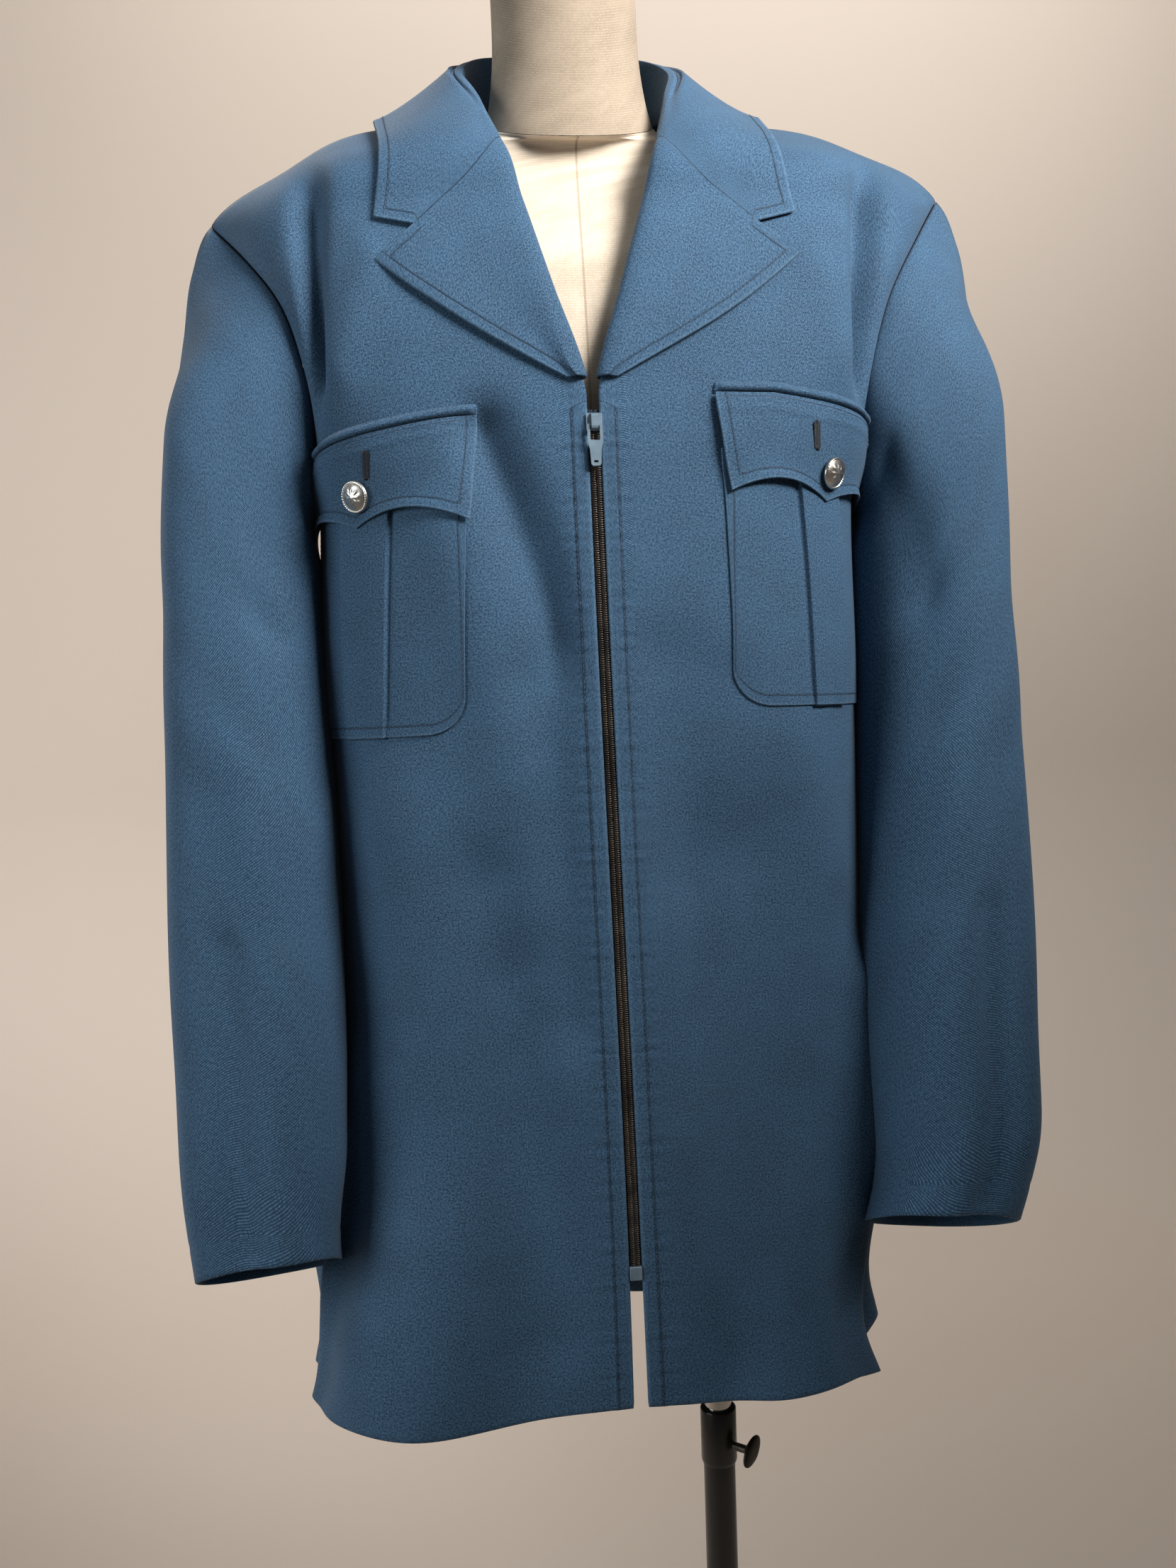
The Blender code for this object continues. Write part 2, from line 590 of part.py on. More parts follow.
# Grids of the panels
V_BODY = np.array([0, .07, .14, .21, .28, .345, .41, .475, .54, .61, UNDERARM_V, .72, .76, .80, .84, .88,
                   .92, .95, .97, .98, .99, 1.0])
U_FRONT = np.array([0, .05, .11, .17, .225, .28, .34, .40, .47, .54, .61, .67, .73, .79, .845, .895,
                    .945, 1.0])
U_BACK = np.concatenate([np.linspace(0, NECK_U, 6)[:-1], np.linspace(NECK_U, 1.0, 10)])
S_SLEEVE = np.array([0, .035, .075, .12, .18, .25, .33, .42, .51, .60, .69, .78, .86, .93, 1.0])
SIDES = (("right", -1.0, FOLDS_RIGHT), ("left", 1.0, FOLDS_LEFT))
PANELS = {}


def tip_direction():
    """Wall direction where front, back and sleeve meet at the shoulder's end."""
    one = np.ones(1)
    return unit(outward(front_base, one, one * 0.999) + outward(back_base, one, one * 0.999)
                + normals(sleeve, one * 0.0, one * 0.004))[0]


def wall_directions(base, u, v):
    """Wall directions of a panel's grid, shared with its neighbours along the seams."""
    own = outward(base, u, v)
    front = base is front_base
    other = outward(back_base if front else front_base, np.ones(len(V_BODY)), V_BODY)
    side = V_BODY <= UNDERARM_V
    own[side, -1] = seam_normals(own[side, -1], other[side])
    turns = armhole_turns(V_BODY[~side], ARMHOLE_FRONT if front else ARMHOLE_BACK, front)
    head = normals(sleeve, turns, np.full(len(turns), 0.004))
    own[~side, -1] = seam_normals(own[~side, -1], head)
    if front:
        over = outward(back_base, NECK_U + (1 - NECK_U) * u[-1], np.full(len(u[-1]), 0.999))
        own[-1] = seam_normals(own[-1], over)
    else:
        seam = u[-1] >= NECK_U
        across = (u[-1, seam] - NECK_U) / (1 - NECK_U)
        own[-1, seam] = seam_normals(own[-1, seam], outward(front_base, across, np.full(len(across), 0.999)))
    own[-1, -1] = tip_direction()
    return own


def make_front(name, sign, folds):
    """One front, from the zip and the roll line to the side seam and the armhole."""
    u, v = np.meshgrid(U_FRONT, V_BODY)
    own = wall_directions(front_base, u, v)
    outer = folded(front_base, folds, u, v)
    inner = outer - own * CLOTH
    inset((outer, inner), ("last", "out"))
    PANELS[name] = (outer, own)
    mirror = np.array([sign, 1.0, 1.0])
    return closed_wall("front_" + name, outer * mirror, inner * mirror, "cloth")


def make_back():
    """The back in one piece, both sides of the middle."""
    u, v = np.meshgrid(U_BACK, V_BODY)
    own = wall_directions(back_base, u, v)
    outer = folded(back_base, FOLDS_BACK, u, v)
    inner = outer - own * CLOTH
    inset((outer, inner), ("last", "out"))
    mirror = np.array([-1.0, 1.0, 1.0])
    outer = np.concatenate([(outer * mirror)[:, :0:-1], outer], axis=1)
    inner = np.concatenate([(inner * mirror)[:, :0:-1], inner], axis=1)
    return closed_wall("back", outer, inner, "cloth")


def make_sleeve(name, sign):
    """One sleeve: a tube from the armhole to the open cuff."""
    high = V_BODY[V_BODY > UNDERARM_V]
    turns = np.concatenate([armhole_turns(high[::-1], ARMHOLE_FRONT, True), [0.5],
                            armhole_turns(high[:-1], ARMHOLE_BACK, False)])
    turn, s = np.meshgrid(turns, S_SLEEVE)
    outer = sleeve(turn, s)
    own = normals(sleeve, turn, s)
    own[0] = normals(sleeve, turns, np.full(len(turns), 0.004))
    count = len(high)
    one = np.ones(count)
    own[0, :count] = seam_normals(own[0, :count], outward(front_base, one, high[::-1]))
    own[0, count + 1:] = seam_normals(own[0, count + 1:], outward(back_base, one[:-1], high[:-1]))
    own[0, 0] = tip_direction()
    inner = outer - own * CLOTH
    inset((outer, inner), ("first",), SEAM_GAP)
    mirror = np.array([sign, 1.0, 1.0])
    return closed_wall("sleeve_" + name, outer * mirror, inner * mirror, "cloth", ring=True)


# Pockets

def lines(start, end, grid, extra=()):
    """The grid's own lines between start and end, with both ends and any extra lines."""
    own = grid[(grid > start + 0.012) & (grid < end - 0.012)]
    return np.sort(np.concatenate([[start], own, [end], np.asarray(extra, float)]))


def make_pocket(name, sign, raise_v):
    """Patch pocket with rounded lower corners and a raised box pleat."""
    u0, u1 = POCKET["u"]
    v0, v1 = (value + raise_v for value in POCKET["v"])
    p0, p1 = POCKET["pleat"]
    reach = POCKET["corner_u"]
    columns = lines(u0, u1, U_FRONT, (u0 + 0.035, p0 - 0.006, p0 + 0.006, p1 - 0.006, p1 + 0.006))
    levels = (lines(v0, v1, V_BODY) - v0) / (v1 - v0)
    u, t = np.meshgrid(columns, levels)
    corner = np.clip(1 - np.minimum(u - u0, u1 - u) / reach, 0, 1)
    floor = v0 + POCKET["corner_v"] * (1 - np.sqrt(1 - corner ** 2))
    v = floor + (v1 - floor) * t
    pleat = POCKET["pleat_rise"] * ramp(u, p0 - 0.006, p0 + 0.006) * (1 - ramp(u, p1 - 0.006, p1 + 0.006))
    mirror = np.array([sign, 1.0, 1.0])
    inner = lay(name, u, v, np.full(u.shape, LAY_GAP)) * mirror
    outer = lay(name, u, v, LAY_GAP + POCKET["wall"] + pleat) * mirror
    return closed_wall("pocket_" + name, outer, inner, "cloth")


def flap_bottom(u):
    """Lower edge of the flap: three points joined by two shallow arcs."""
    u0, u1 = FLAP["u"]
    mid = FLAP["point_u"]
    t = np.where(u < mid, (u - u0) / (mid - u0), (u1 - u) / (u1 - mid))
    arc = np.sin(np.pi * np.clip(t, 0, 1)) ** 0.8
    return FLAP["v_top"] - FLAP["depth_v"] + FLAP["scallop_v"] * arc


FLAP_LIFT = LAY_GAP + POCKET["wall"] + POCKET["pleat_rise"] + LAY_GAP + 0.0002


def make_flap(name, sign, raise_v):
    """Scalloped flap over the pocket, and the turned welt along its top."""
    u0, u1 = FLAP["u"]
    mirror = np.array([sign, 1.0, 1.0])
    columns = lines(u0, u1, U_FRONT)
    u, t = np.meshgrid(columns, np.array([0, 0.3, 0.62, 1.0]))
    bottom = flap_bottom(u)
    v = bottom + (FLAP["v_top"] - bottom) * t + raise_v
    inner = lay(name, u, v, np.full(u.shape, FLAP_LIFT)) * mirror
    outer = lay(name, u, v, np.full(u.shape, FLAP_LIFT + FLAP["wall"])) * mirror
    closed_wall("flap_" + name, outer, inner, "cloth")
    w0, w1 = WELT["v"]
    u, t = np.meshgrid(columns, np.array([0, 0.5, 1.0]))
    v = w0 + (w1 - w0) * t + raise_v
    swell = FLAP_LIFT + WELT["wall"] * (0.55 + 0.25 * np.sin(np.pi * t)) - 0.3 * WELT["wall"] * t
    inner = lay(name, u, v, np.full(u.shape, LAY_GAP)) * mirror
    outer = lay(name, u, v, swell) * mirror
    closed_wall("welt_" + name, outer, inner, "cloth")


def make_button(name, sign, raise_v):
    """Domed metal button standing on the flap."""
    v = FLAP["v_top"] - BUTTON_DROP + raise_v
    mirror = np.array([sign, 1.0, 1.0])
    at = settle(lay(name, BUTTON_U, v, FLAP_LIFT + FLAP["wall"] + BUTTON_GAP) * mirror)
    tip = settle(lay(name, BUTTON_U, v, FLAP_LIFT + FLAP["wall"] + 0.01) * mirror)
    r = BUTTON_RADIUS
    profile = [(0.0, 0.0050), (r * 0.35, 0.0048), (r * 0.65, 0.0040), (r * 0.84, 0.0029), (r * 0.90, 0.0030),
               (r, 0.0022), (r, 0.0012), (r * 0.8, 0.0), (0.0, 0.0)]
    obj = turned("button_" + name, profile, "button", garment, segments=20)
    obj.location = at
    obj.rotation_euler = Vector(tip - at).to_track_quat("Z", "Y").to_euler()
    return obj


# Lapels and collar

ROLL = (
    # beside and out for the visible side, then for the hidden side
    (0.0010, -0.0054, 0.0010, -0.0034),
    (-0.0014, -0.0050, -0.0006, -0.0031),
    (-0.0030, -0.0026, -0.0011, -0.0016),
    (-0.0030, 0.0014, -0.0011, 0.0010),
    (-0.0004, 0.0046, 0.0008, 0.0029),
)
SECTION = (0.0, 0.12, 0.26, 0.40, 0.54, 0.65, 0.82, 1.0)     # shares of the fall, the notch at 0.65
NOTCH_STEP = 5
LAPEL_ROWS = np.array([0, .07, .15, .24, .34, .45, .56, .67, .78, .89, 1.0])
COLLAR_ROWS = np.array([1.0, .965, .92, .86, .79, .71, .62, .52, .42, .31, .20, .10, 0.0])


def roll(v, side):
    """The five points round the front's edge at each v: side 0 visible, 2 hidden."""
    zero = np.zeros(np.shape(v))
    at = front_base(zero, v)
    beside = unit(front_base(zero + 0.03, v) - at)
    out = outward(front_base, zero, v)
    return [at + beside * row[side] + out * row[side + 1] for row in ROLL]


def lapel_section(a, side):
    """Points of the lapel for each a along the roll line, round the roll and out to its edge."""
    edge_v = LAPEL_START_V + (GORGE_V - LAPEL_START_V) * a
    tip_u = 0.034 + (LAPEL_TIP[0] - 0.034) * a
    tip_v = LAPEL_START_V + (LAPEL_TIP[1] - LAPEL_START_V) * a - 0.006 * np.sin(np.pi * a)
    points = roll(edge_v, side)
    start = np.minimum(LAPEL_START_U, tip_u * 0.4)
    wall = TURN_CLOTH if side == 0 else 0.0
    for share in SECTION:
        u = start + (tip_u - start) * share
        along = u / tip_u
        v = edge_v + (tip_v - edge_v) * along - GORGE_SAG * np.sin(np.pi * along) * a ** 4
        lift = LAY_GAP + wall + ROLL_LIFT * (1 - 0.75 * ramp(share, 0, 0.6))
        points.append(front_base(u, v) + outward(front_base, u, v) * np.asarray(lift)[..., None])
    return np.stack(points, axis=1)


def make_lapel(name, sign):
    """The turned-back lapel: a wall that rolls round the front's edge and lies on the chest."""
    mirror = np.array([sign, 1.0, 1.0])
    outer, inner = (lapel_section(LAPEL_ROWS, side) * mirror for side in (0, 2))
    inset((outer, inner), ("last",))
    return closed_wall("lapel_" + name, outer, inner, "cloth")


def collar_side(side):
    """Points of the collar's left half, from the gorge to the middle of the back."""
    c = COLLAR_ROWS
    fold = flow(COLLAR_FOLD, c).T
    edge_v = 1 - (1 - GORGE_V) * np.clip(2 * c - 1, 0, 1)
    neck_u = NECK_U * np.clip(2 * c, 0, 1)
    ahead = (c >= 0.5)[:, None]
    neckline = np.where(ahead, front_base(0 * c, edge_v), back_base(neck_u, np.ones(len(c))))
    one, step = np.ones(len(c)), 0.001
    on_front = front_base(0 * c, edge_v) - front_base(0 * c, edge_v - step)
    on_back = back_base(neck_u - step, one) - back_base(neck_u + step, one)
    run = np.where(ahead, on_front, on_back)
    away = unit(np.stack([run[:, 1], -run[:, 0], 0 * c], -1))
    up = np.array([0, 0, 1.0])
    radius = FOLD_RADIUS if side == 0 else FOLD_RADIUS - TURN_CLOTH
    wall = TURN_CLOTH if side == 0 else 0.0
    centre = fold - up * FOLD_RADIUS
    root = neckline - away * (CLOTH + LAY_GAP + STAND_CLEAR + wall) - up * 0.004
    points = [root, centre - away * radius, centre - away * radius * 0.5 + up * radius * 0.87,
              centre + away * radius * 0.5 + up * radius * 0.87, centre + away * radius]
    near = ramp(c, 0.60, 1.0)[:, None]
    meet = np.stack(roll(np.array([GORGE_V]), side), axis=1)[0]
    points = [point + (meet[k] - point[0]) * near ** (3 if k == 0 else 1) for k, point in enumerate(points)]
    edge_front = flow(COLLAR_EDGE_FRONT, np.maximum(c, 0.5))
    edge_back = flow(COLLAR_EDGE_BACK, np.minimum(c, 0.5))
    rise = (points[4] - neckline) * (1 - near)
    for k, share in enumerate(SECTION):
        gorge_u, gorge_v, gorge_lift = gorge_point(k)
        share = 0.04 + 0.96 * share
        near = ramp(c, 0.60, 1.0)
        u = edge_front[0] * share
        v = edge_v + (edge_front[1] - edge_v) * share
        u, v = u + (gorge_u - u[0]) * near, v + (gorge_v - v[0]) * near
        lift = LAY_GAP + wall + COLLAR_LIFT + (gorge_lift - COLLAR_LIFT) * near
        over_front = front_base(u, v) + outward(front_base, u, v) * lift[:, None]
        u, v = neck_u + (edge_back[0] - neck_u) * share, 1 + (edge_back[1] - 1) * share
        over_back = back_base(u, v) + outward(back_base, u, v) * (LAY_GAP + wall + COLLAR_LIFT)
        points.append(np.where(ahead, over_front, over_back) + rise * (1 - share) ** 1.5)
    return np.stack(points, axis=1)


def gorge_point(k):
    """The collar's front end: along the lapel's top edge to the notch, then up to the corner."""
    share = SECTION[min(k, NOTCH_STEP)]
    u = LAPEL_START_U + (LAPEL_TIP[0] - LAPEL_START_U) * share
    along = u / LAPEL_TIP[0]
    v = GORGE_V + (LAPEL_TIP[1] - GORGE_V) * along - GORGE_SAG * math.sin(math.pi * along)
    beyond = max(0.0, (SECTION[k] - SECTION[NOTCH_STEP]) / (1 - SECTION[NOTCH_STEP]))
    u += (COLLAR_CORNER[0] - u) * beyond
    v += (COLLAR_CORNER[1] - v) * beyond
    return u, v, ROLL_LIFT * (1 - 0.75 * float(ramp(SECTION[k], 0, 0.6)))


def make_collar():
    """Notched collar: stand, fold and fall in one wall round the neck."""
    mirror = np.array([-1.0, 1.0, 1.0])
    grids = []
    for side in (0, 2):
        half = collar_side(side)
        grids.append(np.concatenate([half * mirror, half[-2::-1]], axis=0))
    inset(grids, ("first", "last"))
    return closed_wall("collar", grids[0], grids[1], "cloth")


# Zip

def hub_frame(top, below):
    """Placement whose Z runs up the zip and whose Y points into the body."""
    up = (Vector(top) - Vector(below)).normalized()
    across = Vector((1, 0, 0))
    inward = up.cross(across).normalized()
    across = inward.cross(up)
    turn = Matrix((across, inward, up)).transposed().to_4x4()
    return Matrix.Translation(Vector(top)) @ turn


def make_zip():
    """Tapes behind the fronts, the coil chain between them, the slider, its tab and the retainer."""
    v = lines(ZIP_BOTTOM_V, ZIP_TOP_V, V_BODY)
    for name, sign, _ in SIDES:
        mirror = np.array([sign, 1.0, 1.0])
        u, level = np.meshgrid(np.array([0.0, TAPE_REACH]), v)
        outer = lay(name, u, level, np.full(u.shape, -CLOTH - LAY_GAP)) * mirror
        inner = lay(name, u, level, np.full(u.shape, -CLOTH - LAY_GAP - TAPE_WALL)) * mirror
        closed_wall("zip_tape_" + name, outer, inner, "zip_tape")
    middle = lay("left", np.zeros(len(v)), v, np.zeros(len(v))) * np.array([0.0, 1.0, 1.0])
    level = v <= SLIDER_V
    level[np.argmin(level)] = True
    path = middle[level].copy()
    slider_at = lay("left", 0.0, SLIDER_V, 0.0) * np.array([0.0, 1.0, 1.0])
    path[-1] = slider_at - unit(slider_at - path[-2]) * 0.0018
    across = np.array([-0.5, 0.5])[None, :, None] * CHAIN_WIDTH * np.array([1.0, 0, 0])
    outer = path[:, None] + across - np.array([0, 0.0004, 0])
    path[0] += np.array([0, 0, 0.0050])
    outer[0, :, 2] += 0.0050
    closed_wall("zip_chain", outer, outer + np.array([0, CHAIN_DEPTH, 0]), "zip_coil")
    foot = settle(middle[0])
    box("zip_retainer_box", (0.0075, 0.0034, 0.0085), Vector(foot), "zip_paint", garment, bevel=0.0005)
    make_slider(hub_frame(settle(slider_at), settle(path[-2])))


def make_slider(frame):
    """Slider plate with its neck and bridge, and the pull tab that turns under the bridge."""
    plate = box("zip_slider", SLIDER_PLATE, (0, 0, 0), "zip_paint", garment, bevel=0.0004)
    plate.matrix_local = frame @ Matrix.Translation((0, PLATE_Y, 0))
    neck = box("slider_neck", (0.0030, 0.0040, 0.0040), (0, 0, 0), "zip_paint", garment)
    neck.matrix_local = frame @ Matrix.Translation((0, 0.0003, 0.0008))
    combine(plate, neck, "UNION")
    face = PLATE_Y - SLIDER_PLATE[1] / 2
    half = BRIDGE_WIDTH / 2
    grids = [np.array([[(x, face - rise, z) for x in (-half, half)] for z, rise in line]) for line in BRIDGE]
    bridge = closed_wall("slider_bridge", grids[0], grids[1], "zip_paint", hang=False)
    bridge.matrix_local = frame
    combine(plate, bridge, "UNION")
    outline = bpy.data.curves.new("zip_pull_tab", "CURVE")
    outline.dimensions = "2D"
    outline.fill_mode = "BOTH"
    outline.extrude = TAB_WALL / 2
    for ring in TAB_RINGS:
        spline = outline.splines.new("POLY")
        spline.points.add(len(ring) - 1)
        for point, (x, z) in zip(spline.points, ring):
            point.co = (x, z, 0, 1)
        spline.use_cyclic_u = True
    outline.materials.append(material("zip_paint"))
    tab = bpy.data.objects.new("zip_pull_tab", outline)
    parts.objects.link(tab)
    tab.parent = garment
    stand_up = Matrix.Rotation(math.pi / 2, 4, "X")
    tab.matrix_local = frame @ Matrix.Translation((0, face - 0.00105, TAB_Z)) @ stand_up


SLIDER_V = 0.7335
SLIDER_PLATE = (0.0093, 0.0014, 0.0102)
PLATE_Y = -0.0020
BRIDGE_WIDTH = 0.0040
BRIDGE = (
    # height along the slider and rise over its face: the bridge's top side, then its underside
    ((-0.0048, -0.0004), (-0.0048, 0.0016), (-0.0040, 0.0029), (-0.0028, 0.0033),
     (0.0028, 0.0033), (0.0040, 0.0028), (0.0048, 0.0014), (0.0050, -0.0004)),
    ((-0.0037, -0.0004), (-0.0037, 0.0013), (-0.0034, 0.0019), (-0.0026, 0.0022),
     (0.0026, 0.0022), (0.0033, 0.0018), (0.0038, 0.0010), (0.0040, -0.0004)),
)
TAB_WALL = 0.0011
TAB_Z = -0.0019
TAB_RINGS = (
    # x and height of the outline, the upper window and the lower window
    ((-0.0038, 0.0006), (0.0038, 0.0006), (0.0045, 0.0000), (0.0044, -0.0100), (0.0034, -0.0140),
     (0.0029, -0.0225), (0.0019, -0.0237), (-0.0019, -0.0237), (-0.0029, -0.0225), (-0.0034, -0.0140),
     (-0.0044, -0.0100), (-0.0045, 0.0000)),
    ((-0.0028, -0.0006), (-0.0028, -0.0083), (-0.0022, -0.0089), (0.0022, -0.0089),
     (0.0028, -0.0083), (0.0028, -0.0006)),
    ((-0.0012, -0.0205), (-0.0012, -0.0218), (0.0012, -0.0218), (0.0012, -0.0205)),
)


# Dress form and stand

def make_form():
    """Linen torso and neck, and the socket that turns on the tube."""
    loft("form_torso", FORM_ROWS, "linen", 28, 2)
    loft("form_neck", NECK_ROWS, "neck_linen", 28, 2)
    top = FORM_ROWS[0][0] - 0.0003
    r = SOCKET_RADIUS
    ceiling = TUBE_TOP + 0.0003
    turned("form_socket", [(0.0, top), (r + 0.006, top), (r + 0.006, top - 0.003), (r, top - 0.005),
                           (r, SOCKET_BOTTOM + 0.001), (r - 0.001, SOCKET_BOTTOM),
                           (POLE_BORE, SOCKET_BOTTOM), (POLE_BORE, ceiling), (0.0, ceiling)], "dark_steel")


def make_stand():
    """Round base, pole, its collar with the thumb screw, and the bright tube inside."""
    r, h = BASE_RADIUS, BASE_HEIGHT
    turned("stand_base", [(0.0, h + 0.010), (0.018, h + 0.010), (0.024, h + 0.004), (0.034, h),
                          (r - 0.004, h - 0.003), (r, h - 0.007), (r, 0.0015), (r - 0.0015, 0.0),
                          (0.0, 0.0)], "black_paint", segments=48)
    foot = BASE_HEIGHT + 0.0103
    step = COLLAR_TOP - 0.0035
    solid_to = TUBE_BOTTOM - TUBE_DROP - 0.030
    pole = turned("pole", [(POLE_BORE, step - 0.0003), (POLE_RADIUS, step - 0.0003), (POLE_RADIUS, foot),
                           (0.0, foot), (0.0, solid_to), (POLE_BORE, solid_to)], "black_paint")
    bottom = COLLAR_TOP - COLLAR_LENGTH
    hold = POLE_RADIUS + 0.0003
    collar = turned("pole_collar", [(POLE_BORE, COLLAR_TOP), (COLLAR_RADIUS - 0.0004, COLLAR_TOP),
                                    (COLLAR_RADIUS, COLLAR_TOP - 0.0004), (COLLAR_RADIUS, bottom + 0.003),
                                    (hold + 0.0004, bottom), (hold, bottom), (hold, step), (POLE_BORE, step)],
                    "black_paint")
    turned("inner_tube", [(TUBE_BORE, TUBE_TOP), (TUBE_RADIUS, TUBE_TOP), (TUBE_RADIUS, TUBE_BOTTOM),
                          (TUBE_BORE, TUBE_BOTTOM)], "chrome")
    out = Vector((math.sin(SCREW_TURN), -math.cos(SCREW_TURN), 0))
    turn = out.to_track_quat("Z", "Y").to_euler()
    for target in (pole, collar):
        hole = rod("hole", 0.00308, 0.020)
        hole.location = Vector((0, 0, SCREW_Z)) + out * 0.015
        hole.rotation_euler = turn
        combine(target, hole, "DIFFERENCE")
    screw = rod("thumb_screw", 0.0030, SCREW_LENGTH)
    screw.location = Vector((0, 0, SCREW_Z)) + out * (TUBE_RADIUS + 0.0003 + SCREW_LENGTH / 2)
    screw.rotation_euler = turn
    mesh = bpy.data.meshes.new("wing")
    bm = bmesh.new()
    bmesh.ops.create_uvsphere(bm, u_segments=20, v_segments=10, radius=1.0,
                              matrix=Matrix.Diagonal((0.0024, 0.0118, 0.0080, 1.0)))
    bm.to_mesh(mesh)
    bm.free()
    wing = add_mesh("wing", mesh, "dark_steel")
    wing.location = Vector((0, 0, SCREW_Z)) + out * 0.0265
    wing.rotation_euler = (Matrix.Rotation(math.radians(35), 4, out) @ turn.to_matrix().to_4x4()).to_euler()
    combine(screw, wing, "UNION")


def rod(name, radius, length):
    """A round rod along its own Z."""
    mesh = bpy.data.meshes.new(name)
    bm = bmesh.new()
    bmesh.ops.create_cone(bm, cap_ends=True, segments=24, radius1=radius, radius2=radius, depth=length)
    bm.to_mesh(mesh)
    bm.free()
    return add_mesh(name, mesh, "dark_steel")


SCREW_LENGTH = 0.0125

for old in list(bpy.data.objects):
    bpy.data.objects.remove(old)
parts = collection("police_tunic_on_dress_form")
cutters = collection("cutters")
garment = bpy.data.objects.new("garment_axis", None)
parts.objects.link(garment)
garment.location = (GARMENT_X, 0, 0)

for side, sign, folds in SIDES:
    make_front(side, sign, folds)
    make_sleeve(side, sign)
    pocket_raise = LEFT_POCKET_RAISE if side == "left" else 0.0
    make_pocket(side, sign, pocket_raise)
    make_flap(side, sign, pocket_raise)
    make_button(side, sign, pocket_raise)
    make_lapel(side, sign)
make_back()
make_collar()
make_zip()
make_form()
make_stand()
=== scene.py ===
# %% [markdown]
# # A police uniform tunic on a dress form
# The real thing is a navy wool tunic, zipped up the front, standing on a cream linen dress form with
# a black and chrome stand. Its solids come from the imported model, which stays as it is. This script
# lays finely modelled cloth over them. Every panel is one function of two parameters, the same that
# shaped the solids, so each piece of cloth lies where its solid says. Sculpting the cloth by hand is
# the other way, but then nothing would tie a pocket to its front.

# %% Load the fixed frame
import math

import bpy
import numpy as np
from mathutils import Matrix, Vector


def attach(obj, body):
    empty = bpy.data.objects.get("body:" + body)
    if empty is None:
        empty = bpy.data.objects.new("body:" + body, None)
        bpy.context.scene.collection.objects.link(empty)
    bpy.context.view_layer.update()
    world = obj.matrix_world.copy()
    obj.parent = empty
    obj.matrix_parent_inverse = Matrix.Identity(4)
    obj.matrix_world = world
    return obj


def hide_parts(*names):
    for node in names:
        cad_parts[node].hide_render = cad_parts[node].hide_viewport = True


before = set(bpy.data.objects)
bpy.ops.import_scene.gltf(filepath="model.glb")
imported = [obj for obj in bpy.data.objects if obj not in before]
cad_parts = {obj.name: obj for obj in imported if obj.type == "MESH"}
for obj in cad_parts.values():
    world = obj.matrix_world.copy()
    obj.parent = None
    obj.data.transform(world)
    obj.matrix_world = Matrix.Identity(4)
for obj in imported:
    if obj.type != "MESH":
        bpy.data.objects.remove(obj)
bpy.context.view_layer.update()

# %% [markdown]
# ## Camera
# The photograph is taken from a little left of the front, looking slightly down, with the camera
# rolled by two degrees. The camera's axes are built from those three angles. A track-to constraint
# would be shorter, but it leaves no place for the roll.

# %% The camera at the photograph's angle
GARMENT_X = -0.075        # the garment's middle plane, beside the pole's axis
YAW, PITCH, ROLL_ANGLE = (math.radians(angle) for angle in (6.0, 5.6, 2.0))

level = Vector((math.sin(YAW), math.cos(YAW), 0))
across = Vector((math.cos(YAW), -math.sin(YAW), 0))
up = Vector((0, 0, 1))
look = level * math.cos(PITCH) - up * math.sin(PITCH)
top = level * math.sin(PITCH) + up * math.cos(PITCH)
right = across * math.cos(ROLL_ANGLE) - top * math.sin(ROLL_ANGLE)
head = top * math.cos(ROLL_ANGLE) + across * math.sin(ROLL_ANGLE)
lens = bpy.data.cameras.new("photo_camera")
lens.lens, lens.sensor_width, lens.sensor_height, lens.sensor_fit = 36.0, 36.0, 36.0, "VERTICAL"
camera = bpy.data.objects.new("photo_camera", lens)
bpy.context.scene.collection.objects.link(camera)
camera.matrix_world = Matrix.Translation((-0.1847, -1.0342, 1.09)) @ Matrix(
    (right, head, -look)).transposed().to_4x4()
bpy.context.scene.camera = camera
print("camera at", tuple(round(x, 3) for x in camera.location))

# %% [markdown]
# ## Tables of the garment
# A pattern cutter thinks in levels: how wide, how deep and how high the coat is at each one. Each
# table below has one row a level, and a smooth curve is drawn through its columns.

# %% Levels of the fronts, the back, the seams and the sleeves
CLOTH = 0.0016
LAY_GAP = 0.0008
UNDERARM_V = 0.68
SHOULDER_BOW = 0.015
HEM_LIFT = 0.004
NECK_U = 0.30
SLEEVE_SET_IN = 0.22
SLEEVE_SQUARE = 2.5
PANEL_WIDTH, PANEL_HEIGHT = 0.30, 0.80
SLEEVE_GIRTH, SLEEVE_LENGTH = 0.38, 0.66

